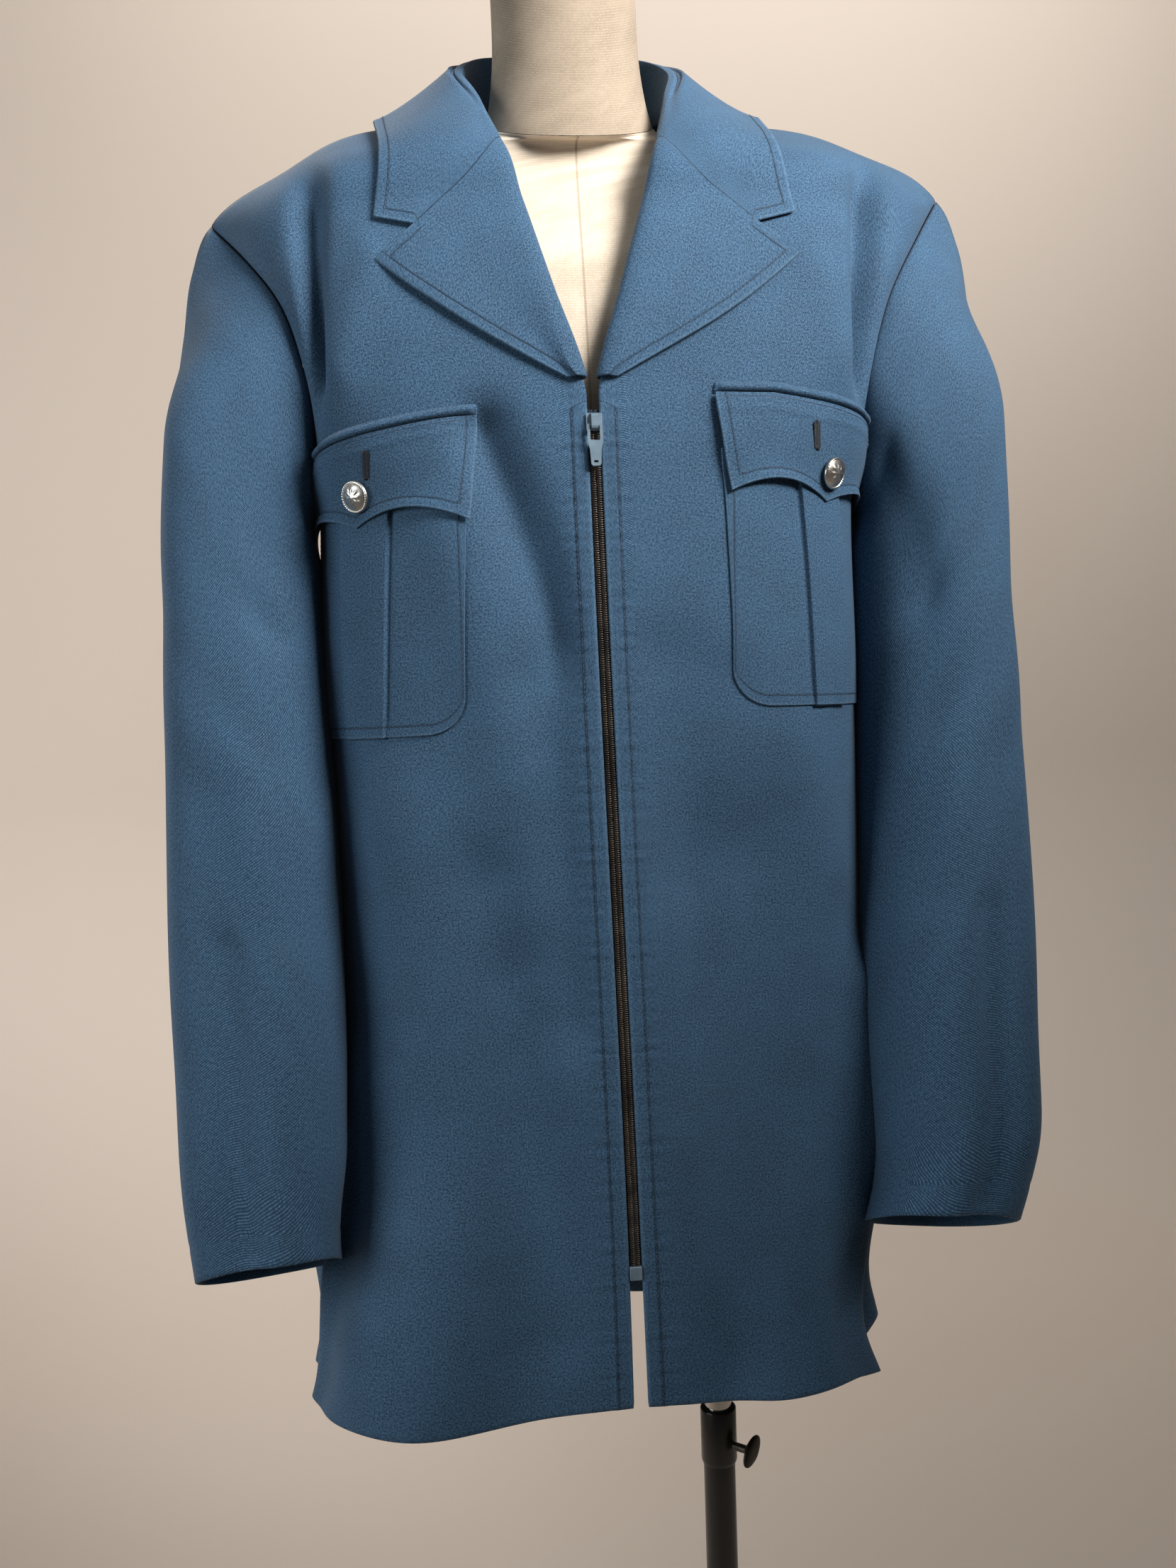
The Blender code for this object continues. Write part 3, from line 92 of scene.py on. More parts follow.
FRONT_ROWS = (
    # v, z_in, x_in, y_in, z_out, x_out, y_out, squareness
    (0.00, 0.622, 0.0050, -0.135, 0.592, 0.2240, 0.030, 3.30),
    (0.10, 0.700, 0.0045, -0.133, 0.684, 0.2040, 0.022, 2.00),
    (0.26, 0.830, 0.0042, -0.130, 0.820, 0.1870, 0.016, 2.05),
    (0.44, 0.975, 0.0042, -0.128, 0.965, 0.1770, 0.012, 2.30),
    (0.56, 1.075, 0.0042, -0.126, 1.065, 0.1730, 0.008, 2.50),
    (0.68, 1.170, 0.0042, -0.123, 1.165, 0.1695, 0.000, 2.60),
    (0.76, 1.228, 0.0045, -0.119, 1.215, 0.1685, -0.062, 2.50),
    (0.84, 1.288, 0.0225, -0.110, 1.265, 0.1785, -0.064, 2.30),
    (0.92, 1.342, 0.0385, -0.091, 1.312, 0.1990, -0.045, 2.00),
    (0.97, 1.382, 0.0500, -0.068, 1.340, 0.2200, -0.018, 1.70),
    (1.00, 1.416, 0.0660, -0.004, 1.357, 0.2375, 0.010, 1.35),
)
BACK_ROWS = (
    # v, z_mid, y_mid, z_out, x_out, y_out, squareness
    (0.00, 0.566, 0.165, 0.592, 0.2240, 0.030, 2.30),
    (0.10, 0.672, 0.158, 0.684, 0.2040, 0.022, 2.30),
    (0.26, 0.818, 0.148, 0.820, 0.1870, 0.016, 2.30),
    (0.44, 0.970, 0.139, 0.965, 0.1770, 0.012, 2.30),
    (0.56, 1.070, 0.139, 1.065, 0.1730, 0.008, 2.40),
    (0.68, 1.175, 0.143, 1.165, 0.1695, 0.000, 2.50),
    (0.78, 1.260, 0.146, 1.220, 0.1720, 0.062, 2.40),
    (0.88, 1.345, 0.135, 1.285, 0.1880, 0.074, 2.10),
    (0.95, 1.398, 0.112, 1.332, 0.2130, 0.052, 1.80),
    (1.00, 1.436, 0.078, 1.357, 0.2375, 0.010, 1.35),
)
SIDE_SEAM = (
    # v, z, x, y
    (0.00, 0.592, 0.2240, 0.030),
    (0.10, 0.684, 0.2040, 0.022),
    (0.26, 0.820, 0.1870, 0.016),
    (0.44, 0.965, 0.1770, 0.012),
    (0.56, 1.065, 0.1730, 0.008),
    (0.68, 1.165, 0.1695, 0.000),
)
ARMHOLE_FRONT = (
    # v, z, x, y
    (0.68, 1.165, 0.1695, 0.000),
    (0.71, 1.176, 0.1685, -0.036),
    (0.76, 1.215, 0.1685, -0.062),
    (0.84, 1.265, 0.1785, -0.064),
    (0.92, 1.312, 0.1990, -0.045),
    (1.00, 1.357, 0.2375, 0.010),
)
ARMHOLE_BACK = (
    # v, z, x, y
    (0.68, 1.165, 0.1695, 0.000),
    (0.72, 1.178, 0.1690, 0.038),
    (0.78, 1.220, 0.1720, 0.062),
    (0.88, 1.285, 0.1880, 0.074),
    (0.95, 1.332, 0.2130, 0.052),
    (1.00, 1.357, 0.2375, 0.010),
)
SLEEVE_ROWS = (
    # s, x_outer, z_outer, x_inner, z_inner, y_middle, half_depth, front_lift
    (0.00, 0.2375, 1.357, 0.1695, 1.165, 0.003, 0.068, 0.000),
    (0.07, 0.2545, 1.316, 0.1750, 1.150, -0.001, 0.074, 0.000),
    (0.15, 0.2640, 1.265, 0.1775, 1.130, -0.004, 0.075, 0.000),
    (0.27, 0.2705, 1.190, 0.1780, 1.092, -0.010, 0.074, 0.000),
    (0.41, 0.2740, 1.090, 0.1780, 1.022, -0.020, 0.071, 0.002),
    (0.56, 0.2760, 0.980, 0.1770, 0.942, -0.035, 0.064, 0.005),
    (0.72, 0.2750, 0.870, 0.1760, 0.852, -0.052, 0.056, 0.010),
    (0.87, 0.2700, 0.770, 0.1745, 0.768, -0.068, 0.050, 0.015),
    (1.00, 0.2640, 0.698, 0.1735, 0.708, -0.082, 0.045, 0.020),
)
print("levels:", len(FRONT_ROWS), "front,", len(BACK_ROWS), "back,", len(SLEEVE_ROWS), "sleeve")

# %% [markdown]
# ## Folds
# Wool this heavy makes few, soft folds. Each is a straight trough or ridge in the panel's own two
# parameters, with a rounded section. The first rows are the large ones that the solids have too, and
# the rest are the finer ones seen on the real cloth.

# %% Troughs and ridges of each panel
FOLDS = {
    # u0, v0, u1, v1, radius, height
    "front_right": (
        (0.23, 0.730, 0.05, 0.550, 0.020, -0.006), (0.52, 0.970, 0.76, 0.815, 0.016, -0.006),
        (0.40, -0.04, 0.38, 0.120, 0.055, 0.020), (0.16, 0.020, 0.20, 0.330, 0.028, -0.005),
        (0.24, 0.735, 0.07, 0.575, 0.018, -0.0080), (0.33, 0.660, 0.18, 0.480, 0.022, 0.0040),
        (0.13, 0.540, 0.07, 0.300, 0.024, -0.0080), (0.56, 0.960, 0.78, 0.800, 0.017, -0.0090),
        (0.42, 0.880, 0.60, 0.800, 0.020, 0.0030), (0.47, 0.000, 0.45, 0.440, 0.045, 0.0100),
        (0.25, 0.400, 0.17, 0.060, 0.026, -0.0080), (0.68, -0.06, 0.70, 0.200, 0.016, 0.0080),
        (0.86, -0.06, 0.86, 0.200, 0.030, -0.0150), (0.76, 0.480, 0.66, 0.300, 0.024, -0.0024),
        (0.34, 0.470, 0.26, 0.330, 0.014, -0.0012)),
    "front_left": (
        (0.56, 0.970, 0.72, 0.800, 0.016, -0.006), (0.44, -0.04, 0.42, 0.120, 0.050, 0.015),
        (0.20, 0.300, 0.12, 0.550, 0.024, -0.004), (0.20, 0.020, 0.22, 0.240, 0.028, -0.004),
        (0.59, 0.960, 0.77, 0.790, 0.018, -0.0110), (0.44, 0.880, 0.60, 0.800, 0.020, 0.0030),
        (0.38, 0.060, 0.30, 0.400, 0.055, -0.0180), (0.66, -0.06, 0.68, 0.300, 0.020, 0.0120),
        (0.84, -0.06, 0.85, 0.220, 0.032, -0.0150), (0.13, 0.400, 0.24, 0.540, 0.022, -0.0035),
        (0.10, 0.230, 0.16, 0.330, 0.012, -0.0020), (0.55, 0.400, 0.42, 0.500, 0.026, 0.0030),
        (0.10, 0.640, 0.24, 0.700, 0.014, -0.0016)),
    "back": (
        (0.50, 0.930, 0.62, 0.740, 0.020, -0.006), (0.45, -0.04, 0.40, 0.200, 0.040, 0.008),
        (0.18, -0.04, 0.16, 0.250, 0.035, -0.006)),
    # turn0, s0, turn1, s1, radius, height
    "sleeve": (
        (0.22, 0.66, 0.24, 0.98, 0.012, -0.004), (0.36, 0.08, 0.33, 0.30, 0.016, -0.005),
        (0.74, 0.10, 0.70, 0.34, 0.018, -0.005), (0.19, 0.52, 0.21, 0.99, 0.028, -0.0045), (0.30, 0.48, 0.31, 0.99, 0.026, 0.0055),
        (0.13, 0.15, 0.15, 0.90, 0.022, 0.0025), (0.32, 0.30, 0.33, 0.62, 0.020, -0.0034),
        (0.10, 0.38, 0.30, 0.46, 0.026, -0.0013), (0.62, 0.44, 0.80, 0.52, 0.018, -0.0024),
        (0.84, 0.58, 0.66, 0.68, 0.016, -0.0020), (0.88, 0.20, 0.90, 0.50, 0.018, 0.0014)),
}
print("folds:", {name: len(rows) for name, rows in FOLDS.items()})

# %% [markdown]
# ## Surfaces
# A section through a buttoned coat is close to a superellipse: flatter than a circle at the chest,
# rounder at the hem. One function turns a level's row into that section, a second adds the folds
# along the normal, and a third lets the finished coat hang askew as the real one does.

# %% Curves through a table, and the superellipse
def flow(rows, t):
    """Columns of a table at t: cubic Hermite, each slope weighed from its two neighbours."""
    table = np.asarray(rows, float)
    x, y = table[:, 0], table[:, 1:]
    step = np.diff(x)[:, None]
    rise = np.diff(y, axis=0) / step
    inner = (rise[:-1] * step[1:] + rise[1:] * step[:-1]) / (step[:-1] + step[1:])
    slope = np.concatenate([rise[:1], inner, rise[-1:]])
    t = np.asarray(t, float)
    k = np.clip(np.searchsorted(x, t, side="right") - 1, 0, len(x) - 2)
    h = step[k]
    w = ((t - x[k]) / h[..., 0])[..., None]
    value = (y[k] * (1 + 2 * w) * (1 - w) ** 2 + y[k + 1] * w ** 2 * (3 - 2 * w)
             + slope[k] * h * w * (1 - w) ** 2 + slope[k + 1] * h * w ** 2 * (w - 1))
    return np.moveaxis(value, -1, 0)


def ramp(x, start, end):
    """Smooth step: t^2 (3 - 2 t), with t from 0 at start to 1 at end."""
    t = np.clip((x - start) / (end - start), 0.0, 1.0)
    return t * t * (3 - 2 * t)


def quarter(u, n):
    """Sine and cosine of a superellipse's quarter turn: |s|^n + |c|^n = 1."""
    s, c = np.sin(u * np.pi / 2), np.cos(u * np.pi / 2)
    r = (np.abs(s) ** n + np.abs(c) ** n) ** (1 / n)
    return s / r, c / r


def unit(a):
    """Vectors divided by their own length."""
    return a / np.maximum(np.linalg.norm(a, axis=-1, keepdims=True), 1e-12)


def normals(surface, u, v):
    """Normals by central differences: the cross product of dP/du and dP/dv."""
    e = 1e-4
    du = surface(u + e, v) - surface(u - e, v)
    dv = surface(u, v + e) - surface(u, v - e)
    return unit(np.cross(du, dv))


def creases(u, v, rows, width, height):
    """Sum of h exp(-(d / r)^2) over the folds, d the distance to each fold's straight line."""
    p = np.stack([u * width, v * height], -1)
    total = np.zeros(np.shape(u))
    for u0, v0, u1, v1, radius, rise in rows:
        a, b = np.array([u0 * width, v0 * height]), np.array([u1 * width, v1 * height])
        along = np.clip((p - a) @ (b - a) / ((b - a) @ (b - a)), 0, 1)
        d = np.linalg.norm(p - a - along[..., None] * (b - a), axis=-1)
        total = total + rise * np.exp(-(d / radius) ** 2)
    return total


# %% The fronts and the back as functions of u and v
def outer_edge(v, armhole):
    """The panel's outer edge: the side seam up to the underarm, then one half of the armhole."""
    z, x, y = np.where(v < UNDERARM_V, flow(SIDE_SEAM, v), flow(armhole, v))
    return np.stack([x, y, z], -1)


def front_base(u, v):
    """Left front: x = x_in + (x_out - x_in) s(u), y = y_out + (y_in - y_out) c(u)."""
    z_in, x_in, y_in, z_out, x_out, y_out, n = flow(FRONT_ROWS, v)
    x_in = np.maximum(x_in, FRONT_ROWS[3][2])
    s, c = quarter(u, n)
    inside = np.clip(u, 0, 1)
    bow = SHOULDER_BOW * ramp(v, 0.8, 1.0) * np.sin(np.pi * inside ** 1.25)
    bow = bow + HEM_LIFT * np.sin(np.pi * np.clip(u / 0.9, 0, 1)) * (1 - ramp(v, 0.0, 0.12))
    x = x_in + (x_out - x_in) * s
    y = y_out + (y_in - y_out) * c
    z = z_in + (z_out - z_in) * u + bow
    edge = outer_edge(v, ARMHOLE_FRONT) - np.stack([x_out, y_out, z_out], -1)
    return np.stack([x, y, z], -1) + edge * inside[..., None] ** 6


def back_section(u, v):
    """Left half of the back's section at a level, from the middle to the outer edge."""
    z_mid, y_mid, z_out, x_out, y_out, n = flow(BACK_ROWS, v)
    s, c = quarter(u, n)
    inside = np.clip(np.abs(u), 0, 1)
    flat = np.stack([x_out * s, y_out + (y_mid - y_out) * c, z_mid + (z_out - z_mid) * inside ** 2], -1)
    edge = outer_edge(v, ARMHOLE_BACK) - np.stack([x_out, y_out, z_out], -1)
    return flat + edge * inside[..., None] ** 6


def back_top(u):
    """Neckline as a quarter ellipse up to NECK_U, then the shoulder seam of the front."""
    a = np.clip(u / NECK_U, -1, 1) * np.pi / 2
    z_mid, y_mid = BACK_ROWS[-1][1:3]
    z_in, x_in, y_in = FRONT_ROWS[-1][1:4]
    s, c = np.sin(a), np.cos(a)
    neck = np.stack([x_in * s, y_in + (y_mid - y_in) * c, z_in + (z_mid - z_in) * c], -1)
    t = np.clip((u - NECK_U) / (1 - NECK_U), 0, 1)
    return np.where((u > NECK_U)[..., None], front_base(t, np.ones(np.shape(t))), neck)


def back_base(u, v):
    """Left half of the back: its sections, drawn up to the neckline and the shoulder seam."""
    u, v = np.broadcast_arrays(u, v)
    drawn = (np.clip((v - 0.80) / 0.20, 0, 1) ** 10)[..., None]
    return back_section(u, v) + (back_top(u) - back_section(u, np.ones(np.shape(u)))) * drawn


def outward(base, u, v):
    """Normals of a panel that point out of the body."""
    return normals(base, u, v) * (1 if base is front_base else -1)


def settle(points):
    """The worn hang: sleeves out, left shoulder up, zip slanted, the low left corner drawn in."""
    x, y, z = points[..., 0], points[..., 1], points[..., 2]
    wide = np.abs(x)
    out = 0.009 * ramp(wide, 0.10, 0.22) * (0.4 + 0.6 * ramp(z, 1.10, 1.35))
    near_zip = (1 - ramp(wide, 0.02, 0.10)) * (1 - ramp(z, 1.28, 1.42))
    lean = (0.007 * ramp(1.22 - z, 0.0, 0.60) - 0.003) * near_zip
    rise = (0.003 + 0.027 * x) * ramp(z, 1.10, 1.33) * ramp(wide, 0.08, 0.22)
    low_left = ramp(0.78 - z, 0.0, 0.16) * ramp(x, 0.02, 0.16) * ramp(0.30 - x, 0, 0.06)
    sway = -0.036 * ramp(0.10 - y, 0.0, 0.20) * low_left
    low = ramp(wide, 0.09, 0.20) * ramp(0.30 - wide, 0.0, 0.06)
    drawn = (0.006 * np.exp(-((z - 0.76) / 0.06) ** 2) - 0.018 * ramp(0.70 - z, 0.0, 0.09)) * low
    pressed = -0.007 * np.exp(-((wide - 0.190) / 0.032) ** 2) * ramp(z, 1.27, 1.33)
    return np.stack([x + out + lean + sway + np.sign(x) * drawn, y, z + rise + pressed], -1)


def hang(points, sign=1.0):
    """Left-hand points mirrored by sign, settled, and moved to the garment's middle plane."""
    return settle(points * np.array([sign, 1.0, 1.0])) + np.array([GARMENT_X, 0, 0])


def panel(side, u, v, lift=0.0):
    """The cloth of a front: base(u, v) + normal(u, v) (folds(u, v) + lift), then hung."""
    fade = ramp(1 - u, 0.0, 0.10) * ramp(1 - v, 0.0, 0.06) * ramp(u, 0.0, 0.10)
    rise = creases(u, v, FOLDS["front_" + side], PANEL_WIDTH, PANEL_HEIGHT) * fade
    points = front_base(u, v) + outward(front_base, u, v) * (rise + lift)[..., None]
    corner = np.exp(-((u - 0.80) / 0.17) ** 2) * ramp(1 - u, 0.0, 0.14)
    points[..., 2] -= DROOP[side] * corner * (1 - ramp(v, 0.0, 0.30))
    points[..., 0] -= 0.009 * corner * (1 - ramp(v, 0.0, 0.12))
    return hang(points, SIGN[side])


SIGN = {"right": -1.0, "left": 1.0}
DROOP = {"right": -0.004, "left": 0.023}
probe = panel("left", np.array([0.0, 0.5]), np.array([0.5, 0.5]))
print("zip edge and mid front at half height:", np.round(probe, 3).tolist())

# %% The sleeves as functions of turn and s
def sleeve_ring(turn, s):
    """Ring: a superellipse from the outer point (turn 0) by the front, inside and back."""
    x_outer, z_outer, x_inner, z_inner, y_mid, half_depth, lift = flow(SLEEVE_ROWS, s)
    sine, cosine_of = np.sin(turn * 2 * np.pi), np.cos(turn * 2 * np.pi)
    r = (np.abs(sine) ** SLEEVE_SQUARE + np.abs(cosine_of) ** SLEEVE_SQUARE) ** (1 / SLEEVE_SQUARE)
    sine, cosine_of = sine / r, cosine_of / r
    x = (x_outer + x_inner) / 2 + (x_outer - x_inner) / 2 * cosine_of
    z = (z_outer + z_inner) / 2 + (z_outer - z_inner) / 2 * cosine_of + lift * sine
    return np.stack([x, y_mid - half_depth * sine, z], -1)


def armhole(turn):
    """The armhole's closed line by arc length: turn 0 at the shoulder, 0.5 at the underarm."""
    v = np.linspace(UNDERARM_V, 1.0, 200)
    halves = []
    for rows in (ARMHOLE_FRONT, ARMHOLE_BACK):
        line = outer_edge(v + 1e-9, rows)
        run = np.concatenate([[0], np.cumsum(np.linalg.norm(np.diff(line, axis=0), axis=1))])
        halves.append((line, run / run[-1]))
    turn = np.mod(turn, 1.0)
    share = np.where(turn <= 0.5, 1 - 2 * turn, 2 * turn - 1)
    front, back = (np.stack([np.interp(share, run, line[:, k]) for k in range(3)], -1)
                   for line, run in halves)
    return np.where((turn <= 0.5)[..., None], front, back)


def sleeve_base(turn, s):
    """Rings, drawn to the armhole's line over the first part of the length."""
    set_in = (1 - ramp(s, 0.0, SLEEVE_SET_IN))[..., None]
    return sleeve_ring(turn, s) + (armhole(turn) - sleeve_ring(turn, np.zeros(np.shape(s)))) * set_in


print("cuff's front point:", np.round(hang(sleeve_base(np.array([0.25]), np.array([1.0]))), 3).tolist())

# %% [markdown]
# ## Making cloth from a grid
# A piece of cloth is two grids of points, the outer face and the inner face, joined by a rounded rim.
# Solidify would do the same, but here the inner face can come closer near a seam, where the real
# layers are pressed flat. Each piece gets a UV map in metres along its own threads, so the weave
# keeps its scale and follows the cut, and an attribute with the distance from its sewn edge.

# %% Grids to meshes
def arc(points, axis):
    """Arc length along a grid's axis from its start, for every point."""
    step = np.linalg.norm(np.diff(points, axis=axis), axis=-1)
    start = np.zeros_like(np.take(step, [0], axis=axis))
    return np.concatenate([start, np.cumsum(step, axis=axis)], axis=axis)


def quads(rows, columns, ring=False):
    """Corner numbers of a grid's quads; ring joins the last column to the first."""
    r, c = np.meshgrid(np.arange(rows - 1), np.arange(columns if ring else columns - 1), indexing="ij")
    a, b = r * columns + c, r * columns + (c + 1) % columns
    return np.stack([a, b, b + columns, a + columns], -1).reshape(-1, 4)


def add_mesh(name, points, faces, body, uv=None, facts=None, smooth=True):
    """A mesh object from arrays, turned outwards if its signed volume is negative."""
    a, b, c, d = (points[faces[:, k]] for k in range(4))
    volume = np.einsum("ij,ij->", a, np.cross(b, c)) + np.einsum("ij,ij->", a, np.cross(c, d))
    if volume < 0:
        faces = faces[:, ::-1]
        uv = None if uv is None else uv[:, ::-1]
    mesh = bpy.data.meshes.new(name)
    mesh.from_pydata(points, [], faces.tolist())
    if uv is not None:
        layer = mesh.uv_layers.new(name="threads")
        layer.data.foreach_set("uv", np.ascontiguousarray(uv, float).reshape(-1))
    for key, values in (facts or {}).items():
        mesh.attributes.new(key, "FLOAT", "POINT").data.foreach_set("value", values.astype(float))
    mesh.shade_smooth()
    obj = bpy.data.objects.new(name, mesh)
    bpy.context.scene.collection.objects.link(obj)
    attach(obj, body)
    return obj


def cloth(name, outer, inner, ring=False, edge=None, origin=(0.0, 0.0), kind="navy_twill"):
    """Outer and inner grids joined by a rim that bulges half the wall; UV is arc length in metres."""
    rows, columns = outer.shape[:2]
    count = rows * columns
    wide, tall = arc(outer, 1), arc(outer, 0)
    if ring:
        girth = wide[:, -1:] + np.linalg.norm(outer[:, :1] - outer[:, -1:], axis=-1)
        wide, tall = np.concatenate([wide, girth], axis=1), np.concatenate([tall, tall[:, :1]], axis=1)
    thread = np.stack([wide + origin[0], tall + origin[1]], -1).reshape(-1, 2)
    face, face_uv = quads(rows, columns, ring), quads(rows, columns + 1 if ring else columns)
    r, c = np.divmod(np.arange(count), columns)
    if ring:
        first = np.arange(columns)
        loops = [np.append(first, 0), np.append(first, 0)[::-1] + (rows - 1) * columns]
    else:
        number = np.arange(count).reshape(rows, columns)
        loops = [np.concatenate([number[0], number[1:, -1], number[-1, -2::-1], number[-2::-1, 0]])]
    flat_out, flat_in = outer.reshape(-1, 3), inner.reshape(-1, 3)
    facts = np.full((rows, columns), 60.0) if edge is None else edge
    points, threads = [flat_out, flat_in], [thread]
    values = [facts.reshape(-1)] * 2
    faces, faces_uv = [face, face[:, ::-1] + count], [face_uv, face_uv[:, ::-1]]
    base, base_uv = 2 * count, len(thread)
    for loop in loops:
        own = loop[:-1]
        inside = np.clip(r[own], 1, rows - 2) * columns + (c[own] if ring else np.clip(c[own], 1, columns - 2))
        wall = np.linalg.norm(flat_out[own] - flat_in[own], axis=1, keepdims=True)
        middle = (flat_out[own] + flat_in[own]) / 2 + unit(flat_out[own] - flat_out[inside]) * wall * 0.45
        size = len(own)
        here, after = np.arange(size), (np.arange(size) + 1) % size
        rim = np.concatenate([
            np.stack([own[after], own[here], base + here, base + after], -1),
            np.stack([base + after, base + here, own[here] + count, own[after] + count], -1)])
        row_uv = thread[(r[own] * (columns + 1) + c[own]) if ring else own]
        around = np.stack([after, here, here, after], -1) + base_uv
        points.append(middle)
        threads.append(row_uv)
        values.append(facts.reshape(-1)[own])
        faces.append(rim)
        faces_uv.append(np.concatenate([around, around]))
        base, base_uv = base + size, base_uv + size
    threads = np.concatenate(threads)
    obj = add_mesh(name, np.concatenate(points), np.concatenate(faces), "dressed_form",
                   threads[np.concatenate(faces_uv)], {"edge_mm": np.concatenate(values)})
    obj.data.materials.append(finish[kind])
    return obj


def sewn_edge(points, *edges):
    """Distance in millimetres from the named edges of a grid, the nearest of them."""
    wide, tall = arc(points, 1), arc(points, 0)
    far = {"first": tall, "last": tall[-1:] - tall, "in": wide, "out": wide[:, -1:] - wide}
    return np.minimum.reduce([far[edge] for edge in edges]) * 1000


# %% [markdown]
# ## Materials
# The cloth is a worsted gabardine: a steep twill, dyed navy, a little faded where it rubs. Its
# diagonal ribs, the softer shade in its troughs and the puckered line under each row of stitching,
# with painted shade along that line and along the seams, come from nodes, all scaled in millimetres.
# A photographed texture would be quicker, but it would repeat and carry its own light.

# %% Colour and node helpers
def srgb(code):
    """A colour written as sRGB hex, turned linear: c / 12.92, or ((c + 0.055) / 1.055)^2.4."""
    c = np.array([int(code[k:k + 2], 16) for k in (0, 2, 4)]) / 255
    linear = np.where(c <= 0.04045, c / 12.92, ((c + 0.055) / 1.055) ** 2.4)
    return (*linear.tolist(), 1.0)


def node(tree, kind, links=(), **settings):
    """Adds a node: settings are its properties, or its inputs where the name is a number as i0."""
    made = tree.nodes.new("ShaderNode" + kind)
    for key, value in settings.items():
        if key[0] == "i" and key[1:].isdigit():
            made.inputs[int(key[1:])].default_value = value
        else:
            setattr(made, key, value)
    for index, source in links:
        tree.links.new(source, made.inputs[index])
    return made


def new_material(name, **shader):
    """A material with its Principled shader's own sockets set, and that shader and its tree."""
    made = bpy.data.materials.new(name)
    made.use_nodes = True
    principled = made.node_tree.nodes["Principled BSDF"]
    for key, value in shader.items():
        principled.inputs[key.replace("_", " ")].default_value = value
    finish[name] = made
    return made.node_tree, principled


finish = {}

# %% Worsted gabardine, dyed navy
TWILL = 0.0014            # one rib of the twill, drawn about twice as coarse as the real one
STITCH_IN = 6.0           # millimetres from a sewn edge to its topstitching


def woven(name, dark, mid, light, stitch_shade_colour, rib, steep, depth, roughness, sheen, mottle, speck=0.25):
    """Woven cloth: colour from rib, fleck, mottle and worn edges, with painted shade on the stitch line; height from
    ribs, puckers and the stitch line.
    """
    tree, shader = new_material(name, Roughness=roughness, Sheen_Weight=sheen, Sheen_Roughness=0.4,
                                Specular_IOR_Level=0.25)
    uv = node(tree, "UVMap", uv_map="threads").outputs[0]
    lean = node(tree, "Mapping", [(0, uv)], i3=(steep, 1.0, 1.0)).outputs[0]
    ribs = node(tree, "TexWave", [(0, lean)], bands_direction="DIAGONAL", i1=0.2 * np.pi / rib, i2=1.2,
                i3=2.0, i4=0.6).outputs[0]
    fleck = node(tree, "TexNoise", [(0, uv)], i2=880.0, i3=2.0).outputs[0]
    yarn = node(tree, "MapRange", [(0, fleck)], i1=0.34, i2=0.66).outputs[0]
    cloud = node(tree, "TexNoise", [(0, uv)], i2=26.0, i3=6.0, i4=0.7).outputs[0]
    ages = node(tree, "MapRange", [(0, cloud)], i1=0.36, i2=0.66).outputs[0]
    body = node(tree, "Mix", [(0, ages)], data_type="RGBA", i6=srgb(dark), i7=srgb(mid)).outputs[2]
    # Rib crests mixed towards the light colour: painted shade in the twill's troughs.
    grain = node(tree, "Math", [(0, ribs), (1, yarn)], operation="MULTIPLY").outputs[0]
    share = node(tree, "Math", [(0, grain)], operation="MULTIPLY", i1=speck).outputs[0]
    weave = node(tree, "Mix", [(0, share), (6, body)], data_type="RGBA", i7=srgb(light)).outputs[2]
    edge = node(tree, "Attribute", attribute_name="edge_mm").outputs["Fac"]
    off = node(tree, "Math", [(0, edge)], operation="SUBTRACT", i1=STITCH_IN).outputs[0]
    far = node(tree, "Math", [(0, off), (1, off)], operation="MULTIPLY").outputs[0]
    line = node(tree, "MapRange", [(0, far)], i1=0.0, i2=0.9, i3=1.0, i4=0.0).outputs[0]
    near = node(tree, "MapRange", [(0, far)], i1=0.0, i2=36.0, i3=1.0, i4=0.0).outputs[0]
    worn = node(tree, "MapRange", [(0, edge)], i1=0.0, i2=1.6, i3=mottle, i4=0.0).outputs[0]
    faded = node(tree, "Mix", [(0, worn), (6, weave)], data_type="RGBA", i7=srgb(light)).outputs[2]
    # The colour is pulled towards the fourth colour where edge_mm is STITCH_IN: painted shade along each stitch line
    # and seam.
    shade = node(tree, "Math", [(0, line)], operation="MULTIPLY", i1=0.55).outputs[0]
    stitch_shaded = node(tree, "Mix", [(0, shade), (6, faded)], data_type="RGBA", i7=srgb(stitch_shade_colour)).outputs[2]
    tree.links.new(stitch_shaded, shader.inputs["Base Color"])
    pull = node(tree, "TexNoise", [(0, uv)], i2=190.0, i3=1.0).outputs[0]
    pucker = node(tree, "Math", [(0, pull), (1, near)], operation="MULTIPLY").outputs[0]
    height = node(tree, "Math", [(0, pucker), (1, line)], operation="SUBTRACT").outputs[0]
    soft = node(tree, "Bump", [(2, height)], i0=0.5, i1=0.0004).outputs[0]
    fine = node(tree, "Bump", [(2, ribs), (3, soft)], i0=0.5, i1=depth)
    fine = node(tree, "Bump", [(2, yarn), (3, fine.outputs[0])], i0=0.3, i1=depth).outputs[0]
    tree.links.new(fine, shader.inputs["Normal"])


# The fourth colour of each cloth is the painted shade of its stitch lines and seams.
woven("navy_twill", "1b3650", "22425e", "7aa0be", "101a26", TWILL, 2.0, 0.00030, 0.82, 0.10, 0.15, 0.62)
woven("zip_tape_weave", "131c28", "1c2a3a", "34495f", "0c121a", 0.0011, 0.0, 0.0001, 0.85, 0.2, 0.0)
woven("cream_linen", "bfae98", "d8cab7", "efe5d6", "8d7a64", 0.0016, 0.0, 0.00012, 0.9, 0.1, 0.0, 0.5)
woven("neck_linen", "857867", "9a8c7a", "b8aa98", "6b5c4a", 0.0016, 0.0, 0.00012, 0.9, 0.1, 0.0, 0.5)
print("woven finishes:", sorted(finish))

